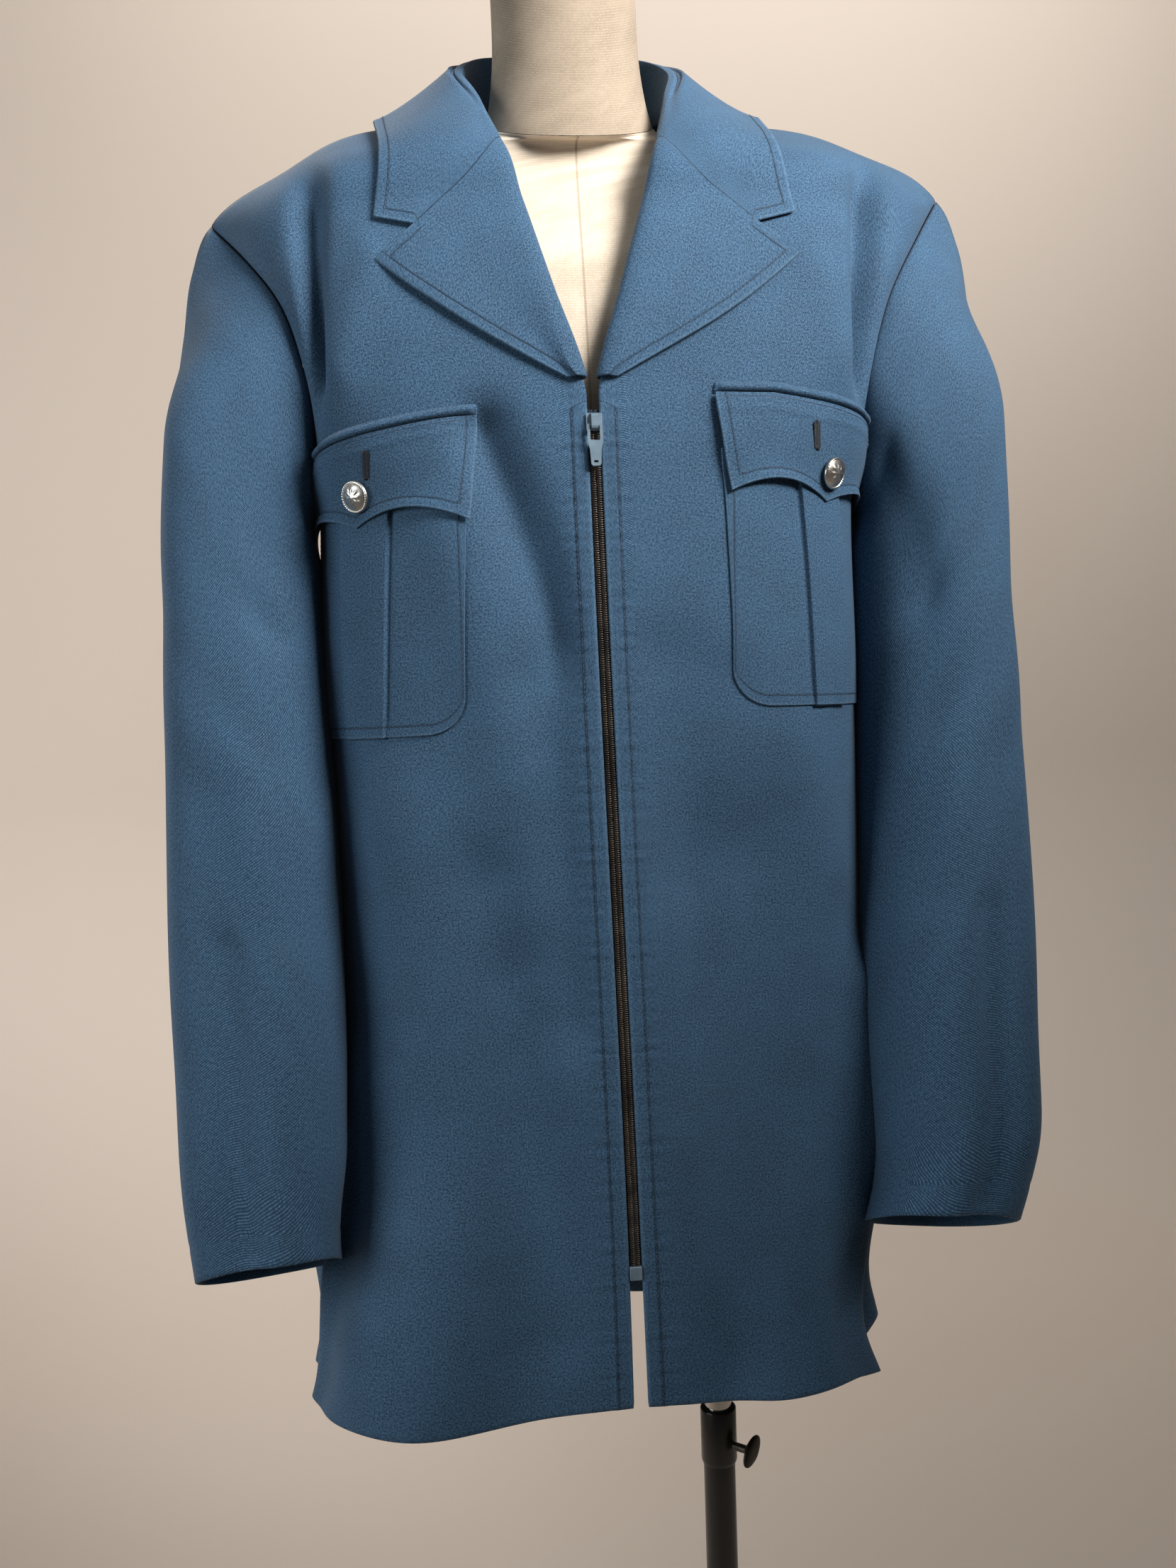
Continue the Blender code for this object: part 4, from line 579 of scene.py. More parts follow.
# %% Paints, platings and thread
def hard(name, colour, other, roughness, metallic=0.0, grain=400.0, cloud=0.35, bump=0.00004, coat=0.0):
    """Paint or metal: two tones in soft clouds, and a fine grain that breaks roughness and height."""
    tree, shader = new_material(name, Metallic=metallic, Coat_Weight=coat)
    place = node(tree, "TexCoord").outputs["Object"]
    soft = node(tree, "TexNoise", [(0, place)], i2=60.0, i3=4.0).outputs[0]
    share = node(tree, "MapRange", [(0, soft)], i1=0.5 - cloud / 2, i2=0.5 + cloud / 2).outputs[0]
    tone = node(tree, "Mix", [(0, share)], data_type="RGBA", i6=srgb(colour), i7=srgb(other)).outputs[2]
    tree.links.new(tone, shader.inputs["Base Color"])
    fine = node(tree, "TexNoise", [(0, place)], i2=grain, i3=3.0).outputs[0]
    rough = node(tree, "MapRange", [(0, fine)], i3=roughness * 0.75, i4=roughness * 1.25).outputs[0]
    tree.links.new(rough, shader.inputs["Roughness"])
    height = node(tree, "Bump", [(2, fine)], i0=0.4, i1=bump).outputs[0]
    tree.links.new(height, shader.inputs["Normal"])


# Die-struck brass with nickel plate: bright, warm in its hollows
hard("nickel_plated_button", "eceae4", "c2bbb0", 0.30, 1.0, 900.0)
# Zinc casting, sprayed with blue-grey lacquer
hard("lacquered_zinc_slider", "8397a4", "64798a", 0.38, 0.25, 1200.0, bump=0.00002, coat=0.3)
# Nylon coil with a bronze finish: dark, each turn with its own glint
hard("bronze_coil", "62574b", "342c25", 0.32, 0.7, 1500.0)
# Drawn steel tube with hard chrome
hard("chromed_tube", "dedad2", "cfc9bf", 0.07, 1.0, 300.0, bump=0.00001)
# Steel tube with black stove enamel
hard("black_stove_enamel", "0d0b0a", "17130f", 0.36, 0.0, 700.0, bump=0.00003, coat=0.4)
# Turned mild steel
hard("turned_steel", "8d8981", "6a655d", 0.34, 1.0, 900.0)
# Cast iron wing, its black worn to bare metal
hard("worn_cast_wing", "4a4541", "27231f", 0.42, 0.8, 500.0, bump=0.00008)
# Polyester sewing thread, dyed to the cloth
hard("navy_thread", "3c5268", "2c3f53", 0.6, 0.0, 2000.0)
hard("dark_thread", "141c27", "0c121a", 0.6, 0.0, 2000.0)
print("finishes:", len(finish))

# %% [markdown]
# ## Rows of stitching
# Topstitching is a row of short raised threads in a pressed line. The line, painted darker as shade, and
# its puckers are in the cloth's finish. The threads are real: one small spindle is copied to each place
# along the line with one array product. An instancing tool would do it too, but the copies wouldn't be in the mesh.

# %% A row of threads along a path
def spindle(length, radius, around=6):
    """Points and quads of a spindle along x: radius sin(pi t)^0.5 over t, its ends closed small."""
    t = np.array([0.03, 0.25, 0.5, 0.75, 0.97])
    a = np.linspace(0, 2 * np.pi, around, endpoint=False)
    r = radius * np.sin(np.pi * t)[:, None] ** 0.5
    points = np.stack([np.broadcast_to(((t - 0.5) * length)[:, None], (5, around)),
                       r * np.cos(a), r * np.sin(a)], -1)
    return points.reshape(-1, 3), quads(5, around, ring=True)


def along(path, side, pitch):
    """Even places on a line of points, each with its direction and its own outward side."""
    run = arc(path[None], 1)[0]
    at = np.arange(pitch / 2, run[-1], pitch)
    place, out = (np.stack([np.interp(at, run, line[:, k]) for k in range(3)], -1) for line in (path, side))
    ahead = np.stack([np.interp(at + 0.0004, run, path[:, k]) for k in range(3)], -1)
    behind = np.stack([np.interp(at - 0.0004, run, path[:, k]) for k in range(3)], -1)
    way = unit(ahead - behind)
    out = unit(out - way * np.sum(out * way, -1, keepdims=True))
    return place, way, out


def copies(name, shape, places, ways, outs, kind, body="dressed_form"):
    """The shape at every place: centre + x way + y (out x way) + z out, in one mesh."""
    points, faces = shape
    frames = np.stack([ways, np.cross(outs, ways), outs], 1)
    all_points = places[:, None] + np.einsum("pk,nkj->npj", points, frames)
    all_faces = faces[None] + (np.arange(len(places)) * len(points))[:, None, None]
    obj = add_mesh(name, all_points.reshape(-1, 3), all_faces.reshape(-1, 4), body)
    obj.data.materials.append(finish[kind])
    return obj


def line_in(points, side, distance, edge="out"):
    """The line of a grid that lies a distance in from one edge, and the outward sides there."""
    both = np.concatenate([points, side], -1)
    turned = {"out": both[:, ::-1], "in": both, "first": both.swapaxes(0, 1),
              "last": both[::-1].swapaxes(0, 1)}[edge]
    run = arc(turned[..., :3], 1)
    k = np.clip((run < distance).sum(axis=1), 1, run.shape[1] - 1)
    r = np.arange(len(run))
    w = ((distance - run[r, k - 1]) / (run[r, k] - run[r, k - 1]))[:, None]
    line = turned[r, k - 1] * (1 - w) + turned[r, k] * w
    return line[:, :3], line[:, 3:]


THREADS = []


def sew(points, side, edge="out", start=0.0, stop=1.0, distance=STITCH_IN / 1000, pitch=0.0031):
    """Notes a row of stitches along one edge of a grid, between two shares of that edge."""
    line, out = line_in(points, side, distance, edge)
    keep = slice(int(start * len(line)), max(int(stop * len(line)), 2))
    place, way, out = along(line[keep], out[keep], pitch)
    THREADS.append((place + out * 0.00012, way, out))


print("one stitch:", spindle(0.0024, 0.00028)[0].shape[0], "points")

# %% [markdown]
# ## The two fronts
# Each front runs from the zip to the side seam and the armhole. Its zip edge is a folded band, held
# by a row of stitches that puckers it. The band's step and puckers are added to the folds as a lift.

# %% Fronts
def grid(u, v):
    """Two arrays over all pairs of u and v, rows along v."""
    return np.meshgrid(np.asarray(u, float), np.asarray(v, float))


def wall_share(u, v, seams=(1.0, 1.0)):
    """Full wall inside a panel, pressed to under half at its sewn edges."""
    near = np.minimum((seams[0] - u) * PANEL_WIDTH, (seams[1] - v) * PANEL_HEIGHT)
    return 0.4 + 0.6 * ramp(near, 0.0, 0.006)


for side in ("right", "left"):
    u, v = grid(np.concatenate([np.linspace(0, 0.05, 15)[:-1], np.linspace(0.05, 0.9985, 80)]),
                np.linspace(0, 0.9993, 300))
    inward = u * 0.262
    beat = np.sin(v * 457) * 0.6 + np.sin(v * 670 + 1.3) * np.sin(v * 41)
    band = 0.0005 * (1 - ramp(inward, 0.0072, 0.0092)) + 0.00055 * beat * np.exp(-((inward - 0.009) / 0.008) ** 2)
    band = band * (1 - ramp(v, 0.74, 0.78))
    near = np.minimum((1 - u) * PANEL_WIDTH, (1 - v) * PANEL_HEIGHT)
    band = band - 0.0007 * np.exp(-(near / 0.0035) ** 2) * ramp(v, 0.66, 0.70)
    outer = panel(side, u, v, band)
    inner = panel(side, u, v, band - CLOTH * wall_share(u, v))
    # edge_mm sets where the cloth paints its stitch-line shade: the placket's row 8.7 mm from the zip, and on the side,
    # armhole and shoulder seams themselves.
    edge = sewn_edge(outer, "in") * STITCH_IN / 8.7 + 60 * ramp(v, 0.745, 0.775)
    edge = np.minimum(edge, STITCH_IN + sewn_edge(outer, "out", "last"))
    piece = cloth("cloth_front_" + side, outer, inner, edge=edge)
    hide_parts("front_" + side)
    flat = (0.34, 0.86)
    sew(outer, outer - inner, "in", 0.0, 0.745, 0.0087)
    print(piece.name, len(piece.data.polygons), "faces, area",
          round(float(np.linalg.norm(np.cross(np.diff(outer, axis=0)[:, :-1], np.diff(outer, axis=1)[:-1]),
                                     axis=-1).sum()), 3))

# %% [markdown]
# ## The back
# The back is one piece. The camera never sees it, so it gets the same cloth, the folds of a coat
# that hangs from its shoulders, and a plain hem. Those folds are uneven from side to side.

# %% Back
BACK_FINE = (
    # signed u0, v0, u1, v1, radius, height
    (0.30, 0.300, 0.10, 0.360, 0.018, -0.0020), (-0.25, 0.340, -0.06, 0.375, 0.018, -0.0018),
    (0.62, 0.420, 0.30, 0.500, 0.016, -0.0018), (-0.55, 0.390, -0.28, 0.470, 0.015, -0.0022),
    (0.70, 0.560, 0.45, 0.640, 0.014, 0.0016), (-0.74, 0.520, -0.50, 0.620, 0.014, 0.0014),
    (0.28, 0.050, 0.30, 0.300, 0.018, 0.0016), (-0.32, 0.040, -0.28, 0.280, 0.018, 0.0018),
    (0.68, 0.060, 0.64, 0.380, 0.020, -0.0018), (-0.62, 0.050, -0.66, 0.330, 0.020, -0.0016),
    (-0.20, 0.900, 0.20, 0.905, 0.012, -0.0012))


def back_cloth(u, v, lift=0.0):
    """Both halves: the left half's surface at |u| with its folds, mirrored where u is negative."""
    a = np.abs(u)
    fade = ramp(1 - a, 0.0, 0.10) * ramp(1 - v, 0.0, 0.06)
    rise = creases(a, v, FOLDS["back"][:3], PANEL_WIDTH, PANEL_HEIGHT)
    rise = (rise + creases(u, v, BACK_FINE, PANEL_WIDTH, PANEL_HEIGHT)) * fade
    points = back_base(a, v) + outward(back_base, a, v) * (rise + lift)[..., None]
    points[..., 0] *= np.where(u < 0, -1.0, 1.0)
    return hang(points)


u, v = grid(np.linspace(-0.9985, 0.9985, 151), np.linspace(0, 0.9993, 180))
outer = back_cloth(u, v)
inner = back_cloth(u, v, -CLOTH * wall_share(np.abs(u), v))
# STITCH_IN plus the distance puts painted seam shade on the seams at the sides, armholes, shoulders and neck.
edge = STITCH_IN + sewn_edge(outer, "in", "out", "last")
piece = cloth("cloth_back", outer, inner, edge=edge)
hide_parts("back")
print(piece.name, len(piece.data.polygons), "faces")

# %% [markdown]
# ## The sleeves
# A sleeve is a tube: one parameter turns round it and the other runs from shoulder to cuff. It hangs
# empty, so it has long soft creases, and a few across the elbow, where it was once bent.

# %% Sleeves
def sleeve(turn, s, sign, lift=0.0):
    """Base ring plus normal times folds, the folds gone at the armhole; turns wrap at 0 and 1."""
    rise = creases(turn, s, FOLDS["sleeve"], SLEEVE_GIRTH, SLEEVE_LENGTH)
    rise = rise + creases(turn - 1, s, FOLDS["sleeve"], SLEEVE_GIRTH, SLEEVE_LENGTH)
    rise = rise + creases(turn + 1, s, FOLDS["sleeve"], SLEEVE_GIRTH, SLEEVE_LENGTH)
    rise = rise * ramp(s, 0.0, 0.08)
    fuller = 0.0105 * np.exp(-((turn - 0.47) / 0.11) ** 2) * ramp(s, 0.05, 0.17) * (1 - ramp(s, 0.85, 1.0))
    outside = np.exp(-(np.minimum(turn, 1 - turn) / 0.13) ** 2)
    fuller = fuller - 0.0050 * outside * ramp(s, 0.03, 0.12) * (1 - ramp(s, 0.45, 0.75))
    slow = fuller + 0.0006 * np.sin(2 * np.pi * (2 * turn + 1.3 * s * (1 + 0.3 * sign))) * ramp(s, 0.1, 0.3)
    points = sleeve_base(turn, s) + normals(sleeve_base, turn, s) * (rise + slow + lift)[..., None]
    return hang(points, sign)


for side in ("right", "left"):
    turn, s = grid(np.linspace(0, 1, 90, endpoint=False), np.linspace(0.0008, 1, 150))
    hem = -0.0005 * (1 - ramp(np.abs(s - 0.958), 0.0, 0.004))
    hem = hem + 0.0016 * ramp(s, 0.0, 0.012) * (1 - ramp(s, 0.018, 0.05)) * (0.5 + 0.5 * np.cos(2 * np.pi * turn))
    outer = sleeve(turn, s, SIGN[side], hem)
    inner = sleeve(turn, s, SIGN[side], hem - CLOTH * (0.4 + 0.6 * ramp(s, 0.0, 0.01)))
    # STITCH_IN plus the distance puts painted seam shade along the armhole seam.
    edge = STITCH_IN + sewn_edge(outer, "first")
    piece = cloth("cloth_sleeve_" + side, outer, inner, ring=True, edge=edge)
    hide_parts("sleeve_" + side)
    print(piece.name, len(piece.data.polygons), "faces")

# %% [markdown]
# ## Breast pockets
# A patch pocket with a box pleat: three strips side by side, the middle one raised on its two folds.
# The grid's columns follow the pleat's slanting folds, so the folds stay crisp. The flap above it has
# three points joined by two shallow arcs, and its top edge is turned up into a rolled welt.

# %% Where the pockets and flaps lie, in u and v of the fronts
POCKETS = {
    # bottom to top: inner side, first pleat fold, second pleat fold, outer side; then v of both ends
    "right": {"inner": (0.292, 0.272), "fold": (0.487, 0.448), "under": (0.628, 0.615),
              "outer": (0.846, 0.850), "v": (0.513, 0.705)},
    "left": {"inner": (0.270, 0.262), "fold": (0.475, 0.443), "under": (0.612, 0.582),
             "outer": (0.846, 0.850), "v": (0.524, 0.714)},
}
FLAPS = {
    # inner corner, middle point and outer corner of the scalloped edge, and the top's three heights
    "right": {"low": ((0.268, 0.663), (0.545, 0.6635), (0.880, 0.660)), "arcs": (0.0125, 0.0115),
              "top": ((0.252, 0.7475), (0.465, 0.7415), (0.880, 0.7335))},
    "left": {"low": ((0.274, 0.680), (0.522, 0.6735), (0.860, 0.672)), "arcs": (0.0140, 0.0110),
             "top": ((0.250, 0.7600), (0.383, 0.7620), (0.860, 0.7460))},
}
POCKET_WALL, PLEAT_RISE = 0.0012, 0.0022


def cosine(count):
    """Shares from 0 to 1 that crowd at both ends: (1 - cos(pi t)) / 2."""
    return (1 - np.cos(np.linspace(0, np.pi, count))) / 2


def between(ends, t):
    """Straight line between two values: a + (b - a) t."""
    return ends[0] + (ends[1] - ends[0]) * t


def pocket(side):
    """Grid of u, v and lift: three strips, rounded lower corners, and the raised middle strip."""
    shape = POCKETS[side]
    strips = np.concatenate([cosine(26) / 3, [1 / 3 + 0.004], cosine(20)[1:-1] / 3 + 1 / 3,
                             [2 / 3 - 0.004], cosine(26) / 3 + 2 / 3])
    a, t = grid(np.unique(strips), cosine(70))
    inner, fold, under, outer = (between(shape[key], t) for key in ("inner", "fold", "under", "outer"))
    k = 3 * a
    u = inner + (fold - inner) * np.clip(k, 0, 1)
    u = u + (under - fold) * np.clip(k - 1, 0, 1) + (outer - under) * np.clip(k - 2, 0, 1)
    corner = np.clip(1 - np.minimum(u - inner, outer - u) / 0.085, 0, 1)
    low, high = shape["v"]
    floor = low + 0.026 * (1 - np.sqrt(1 - corner ** 2))
    v = floor + (high - floor) * t
    raised = ramp(a, 1 / 3 - 0.002, 1 / 3 + 0.004) - ramp(a, 2 / 3 - 0.004, 2 / 3 + 0.002)
    groove = 0.0011 * np.exp(-((a - 1 / 3 + 0.010) / 0.008) ** 2) + 0.0004 * np.exp(-((a - 2 / 3 - 0.010) / 0.008) ** 2)
    puff = 0.0016 * np.sin(np.pi * a) ** 0.7 * np.sin(np.pi * np.clip(t * 1.1, 0, 1)) ** 0.7
    dent = -0.0006 * np.exp(-((a - 0.5) / 0.05) ** 2) * (1 - ramp(t, 0.2, 0.8))
    return u, v, puff + raised * (PLEAT_RISE + dent * raised) - groove * (1 - raised) * ramp(t, 0.0, 0.08)


for side in ("right", "left"):
    u, v, rise = pocket(side)
    inner = panel(side, u, v, LAY_GAP * 0.5 + rise * 0.6)
    outer = panel(side, u, v, LAY_GAP * 0.5 + POCKET_WALL + rise)
    piece = cloth("cloth_pocket_" + side, outer, inner, edge=sewn_edge(outer, "in", "out", "first"),
                  origin=(0.11, 0.37))
    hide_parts("pocket_" + side)
    for edge in ("in", "out"):
        sew(outer, outer - inner, edge, 0.12, 0.99)
    sew(outer, outer - inner, "first", 0.09, 0.92)
    print(piece.name, len(piece.data.polygons), "faces")

# %% Flaps and their welts
def flap(side, t):
    """Grid of u and v: from the scalloped edge (t 0) to the top (t 1), points eased by the arcs."""
    shape = FLAPS[side]
    a, t = grid(np.unique(np.concatenate([cosine(40) / 2, cosine(40) / 2 + 0.5])), t)
    (u0, v0), (u1, v1), (u2, v2) = shape["low"]
    k = 2 * a
    first, second = np.clip(k, 0, 1), np.clip(k - 1, 0, 1)
    low_u = u0 + (u1 - u0) * first + (u2 - u1) * second
    hollow = shape["arcs"][0] * np.sin(np.pi * first) ** 0.9 + shape["arcs"][1] * np.sin(np.pi * second) ** 0.9
    low_v = v0 + (v1 - v0) * first + (v2 - v1) * second + hollow
    top_u = shape["top"][0][0] + (shape["top"][2][0] - shape["top"][0][0]) * (low_u - u0) / (u2 - u0)
    top_v = np.interp(top_u, [point[0] for point in shape["top"]], [point[1] for point in shape["top"]])
    return low_u + (top_u - low_u) * t, low_v + (top_v - low_v) * t, a, t


WELT_V = 0.0080
for side in ("right", "left"):
    u, v, a, t = flap(side, cosine(34))
    raise_mid = 0.0007 * np.exp(-((a - 0.5) / 0.22) ** 2)
    under = 0.0042 - 0.0012 * ramp(t, 0.55, 1.0) + raise_mid * (1 - t)
    ridge = 0.0006 * np.exp(-((t - 0.83) / 0.035) ** 2) - 0.0009 * ramp(t, 0.93, 1.0)
    curl = 0.0022 * (1 - ramp(t, 0.0, 0.16)) * np.sin(np.pi * np.mod(2 * a, 1)) ** 2
    inner = panel(side, u, v, under + curl)
    outer = panel(side, u, v, under + curl + 0.0014 + ridge)
    piece = cloth("cloth_flap_" + side, outer, inner, edge=sewn_edge(outer, "in", "out", "first"),
                  origin=(0.11, 0.50))
    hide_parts("flap_" + side)
    flap_faces = outer, outer - inner
    for edge in ("in", "out"):
        sew(outer, outer - inner, edge, 0.25, 0.97)
    sew(outer, outer - inner, "first", 0.12, 0.88)
    width = np.unique(np.concatenate([cosine(16) * 0.1, np.linspace(0.1, 0.9, 44), 1 - cosine(16) * 0.1]))
    w, t = grid(width, cosine(20))
    shape = FLAPS[side]["top"]
    u = shape[0][0] + (shape[2][0] - shape[0][0]) * w
    v = np.interp(u, [point[0] for point in shape], [point[1] for point in shape]) + 0.0004 + WELT_V * t
    ends = ramp(w, 0.0, 0.02) * ramp(1 - w, 0.0, 0.02)
    swell = (0.0042 + 0.0003 * np.sin(w * 41) * np.sin(w * 17)) * np.sqrt(np.sin(np.pi * np.clip(t, 0.02, 0.985)))
    outer = panel(side, u, v, LAY_GAP * 0.4 + 0.0006 + swell * (0.35 + 0.65 * ends))
    inner = panel(side, u, v, np.full(u.shape, LAY_GAP * 0.4))
    welt = cloth("cloth_welt_" + side, outer, inner, edge=np.full(u.shape, 3.4), origin=(0.11, 0.56))
    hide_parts("welt_" + side)
    sew(*flap_faces, "last", 0.03, 0.97, 0.0022, 0.0026)
    print(piece.name, len(piece.data.polygons), "faces and its welt", len(welt.data.polygons))

# %% [markdown]
# ## Lapels and collar
# The front's edge turns back on itself: round a soft roll and out over the chest to the lapel's edge.
# The collar is the same wall carried round the neck, up inside as the stand and down outside as the
# fall. A few guide points across each section are joined by a smooth curve, as a tailor would pad a
# lapel by hand over a block.

# %% The roll and the lapels
LAPEL_START_V, GORGE_V = 0.770, 0.966
LAPEL_TIP = (0.400, 0.877)
LAPEL_START_U = 0.024
GORGE_SAG = 0.004
TURN_CLOTH = 0.0018
ROLL_LIFT = 0.0034
ROLL = (
    # beside and out for the visible side, then for the hidden side
    (0.0010, -0.0054, 0.0010, -0.0034),
    (-0.0014, -0.0050, -0.0006, -0.0031),
    (-0.0030, -0.0026, -0.0011, -0.0016),
    (-0.0030, 0.0014, -0.0011, 0.0010),
    (-0.0004, 0.0046, 0.0008, 0.0029),
)
NOTCH = 0.65
FALL = np.concatenate([np.linspace(0, NOTCH, 22), np.linspace(NOTCH, 1, 14)[1:]])


def roll(v, side):
    """The guide points round the front's edge at each v: side 0 visible, 2 hidden."""
    zero = np.zeros(np.shape(v))
    at = front_base(zero, v)
    beside = unit(front_base(zero + 0.03, v) - at)
    out = outward(front_base, zero, v)
    return [at + beside * row[side] + out * row[side + 1] for row in ROLL]


def smooth_roll(points):
    """Carries a smooth curve through the five roll guides and on into the fall's first points."""
    rows = len(points[0])
    guides = np.stack(points[:5] + [points[5], points[8]], 0).reshape(7, -1)
    table = np.concatenate([np.arange(7)[:, None], guides], axis=1)
    fine = flow(table, np.linspace(0, 5, 21)[:-1]).T.reshape(20, rows, 3)
    return np.concatenate([fine, np.stack(points[5:], 0)], axis=0).swapaxes(0, 1)


def lapel(a, side):
    """Rows along the roll line a, columns round the roll and over the chest to the lapel's edge."""
    edge_v = LAPEL_START_V + (GORGE_V - LAPEL_START_V) * a
    tip_u = 0.034 + (LAPEL_TIP[0] - 0.034) * a
    tip_v = LAPEL_START_V + (LAPEL_TIP[1] - LAPEL_START_V) * a - 0.006 * np.sin(np.pi * a)
    points = roll(edge_v, side)
    start = np.minimum(LAPEL_START_U, tip_u * 0.4)
    wall = TURN_CLOTH if side == 0 else 0.0
    for share in FALL:
        u = start + (tip_u - start) * share
        run = u / tip_u
        v = edge_v + (tip_v - edge_v) * run - GORGE_SAG * np.sin(np.pi * run) * a ** 4
        lift = LAY_GAP + wall + ROLL_LIFT * (1 - 0.75 * ramp(share, 0, 0.6))
        lift = lift + 0.0010 * np.sin(np.pi * a) * share ** 3
        points.append(front_base(u, v) + outward(front_base, u, v) * np.asarray(lift)[..., None])
    return smooth_roll(points)


def stitched(points, notch_column):
    """Distance from the outer edge, and from the last row beyond the notch, in millimetres; before the notch the last
    row is raised by STITCH_IN, so painted seam shade falls on the gorge seam.
    """
    outer_edge_mm, last_row_mm = sewn_edge(points, "out"), sewn_edge(points, "last")
    last_row_mm[:, :notch_column] += STITCH_IN
    return np.minimum(outer_edge_mm, last_row_mm)


notch_column = 20 + 21
for side in ("right", "left"):
    a = cosine(80)
    a[-1] = 0.9975
    outer, inner = (hang(lapel(a, way), SIGN[side]) for way in (0, 2))
    piece = cloth("cloth_lapel_" + side, outer, inner, edge=stitched(outer, notch_column), origin=(0.05, 0.6))
    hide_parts("lapel_" + side)
    sew(outer, outer - inner, "out", 0.12, 0.95)
    sew(outer[:, notch_column:], (outer - inner)[:, notch_column:], "last", 0.1, 0.80)
    print(piece.name, len(piece.data.polygons), "faces")

# %% The collar
COLLAR_FOLD = (
    # c, x, y, z of the fold from the middle of the back (0) to the gorge (1)
    (0.00, 0.0000, 0.0840, 1.480),
    (0.25, 0.0500, 0.0600, 1.473),
    (0.50, 0.0680, 0.0000, 1.446),
    (0.75, 0.0590, -0.0395, 1.418),
    (1.00, 0.0485, -0.0690, 1.384),
)
COLLAR_EDGE_BACK = (
    # c, u, v on the back panel
    (0.00, 0.000, 0.960),
    (0.25, 0.265, 0.968),
    (0.50, 0.4680, 1.000),
)
COLLAR_EDGE_FRONT = (
    # c, u, v on the front panel
    (0.50, 0.240, 1.000),
    (0.75, 0.302, 0.953),
    (1.00, 0.366, 0.912),
)
COLLAR_CORNER = (0.366, 0.912)
FOLD_RADIUS, COLLAR_LIFT, STAND_CLEAR = 0.0036, 0.0030, 0.0016


def gorge(share):
    """The collar's front end: along the lapel's top edge to the notch, then up to the corner."""
    own = min(share, NOTCH)
    u = LAPEL_START_U + (LAPEL_TIP[0] - LAPEL_START_U) * own
    run = u / LAPEL_TIP[0]
    v = GORGE_V + (LAPEL_TIP[1] - GORGE_V) * run - GORGE_SAG * math.sin(math.pi * run)
    beyond = max(0.0, (share - NOTCH) / (1 - NOTCH))
    u += (COLLAR_CORNER[0] - u) * beyond
    v += (COLLAR_CORNER[1] - v) * beyond
    return u, v, ROLL_LIFT * (1 - 0.75 * float(ramp(share, 0, 0.6)))


def collar_half(c, side):
    """Rows from the gorge (c 1) to the middle of the back (c 0), columns up the stand and down."""
    fold = flow(COLLAR_FOLD, c).T
    edge_v = 1 - (1 - GORGE_V) * np.clip(2 * c - 1, 0, 1)
    neck_u = NECK_U * np.clip(2 * c, 0, 1)
    ahead = (c >= 0.5)[:, None]
    neckline = np.where(ahead, front_base(0 * c, edge_v), back_base(neck_u, np.ones(len(c))))
    one, step = np.ones(len(c)), 0.001
    on_front = front_base(0 * c, edge_v) - front_base(0 * c, edge_v - step)
    on_back = back_base(neck_u - step, one) - back_base(neck_u + step, one)
    run = np.where(ahead, on_front, on_back)
    away = unit(np.stack([run[:, 1], -run[:, 0], 0 * c], -1))
    mix = ramp(c, 0.40, 0.60)[:, None]
    smooth = np.stack([np.convolve(np.pad(away[:, k], 4, mode="edge"), np.ones(9) / 9, "valid")
                       for k in range(3)], -1)
    away = unit(away * np.abs(2 * mix - 1) + smooth * (1 - np.abs(2 * mix - 1)))
    rise_z = np.array([0, 0, 1.0])
    radius = FOLD_RADIUS if side == 0 else FOLD_RADIUS - TURN_CLOTH
    wall = TURN_CLOTH if side == 0 else 0.0
    centre = fold - rise_z * FOLD_RADIUS
    root = neckline - away * (CLOTH + LAY_GAP + STAND_CLEAR + wall) - rise_z * 0.004
    points = [root, centre - away * radius, centre - away * radius * 0.5 + rise_z * radius * 0.87,
              centre + away * radius * 0.5 + rise_z * radius * 0.87, centre + away * radius]
    near = ramp(c, 0.60, 1.0)[:, None]
    meet = np.stack(roll(np.array([GORGE_V]), side), axis=1)[0]
    points = [point + (meet[k] - point[0]) * near ** (3 if k == 0 else 1) for k, point in enumerate(points)]
    edge_front = flow(COLLAR_EDGE_FRONT, np.maximum(c, 0.5))
    edge_back = flow(COLLAR_EDGE_BACK, np.minimum(c, 0.5))
    rise = (points[4] - neckline) * (1 - near)
    near = near[:, 0]
    for raw in FALL:
        gorge_u, gorge_v, gorge_lift = gorge(raw)
        share = 0.04 + 0.96 * raw
        u = edge_front[0] * share
        v = edge_v + (edge_front[1] - edge_v) * share
        u, v = u + (gorge_u - u[0]) * near, v + (gorge_v - v[0]) * near
        lift = LAY_GAP + wall + COLLAR_LIFT + (gorge_lift - COLLAR_LIFT) * near
        over_front = front_base(u, v) + outward(front_base, u, v) * lift[:, None]
        u, v = neck_u + (edge_back[0] - neck_u) * share, 1 + (edge_back[1] - 1) * share
        over_back = back_base(u, v) + outward(back_base, u, v) * (LAY_GAP + wall + COLLAR_LIFT)
        points.append(np.where(ahead, over_front, over_back) + rise * (1 - share) ** 1.5)
    return smooth_roll(points)


c = np.concatenate([1 - 0.2 * cosine(24)[:12], np.linspace(0.9, 0, 60)[1:]])
c = np.unique(c)[::-1]
c[0] = 1.0
halves = [collar_half(c, way) for way in (0, 2)]
outer, inner = (hang(np.concatenate([half * np.array([-1.0, 1, 1]), half[-2::-1]])) for half in halves)
edge = sewn_edge(outer, "out")
ends = sewn_edge(outer, "first", "last")
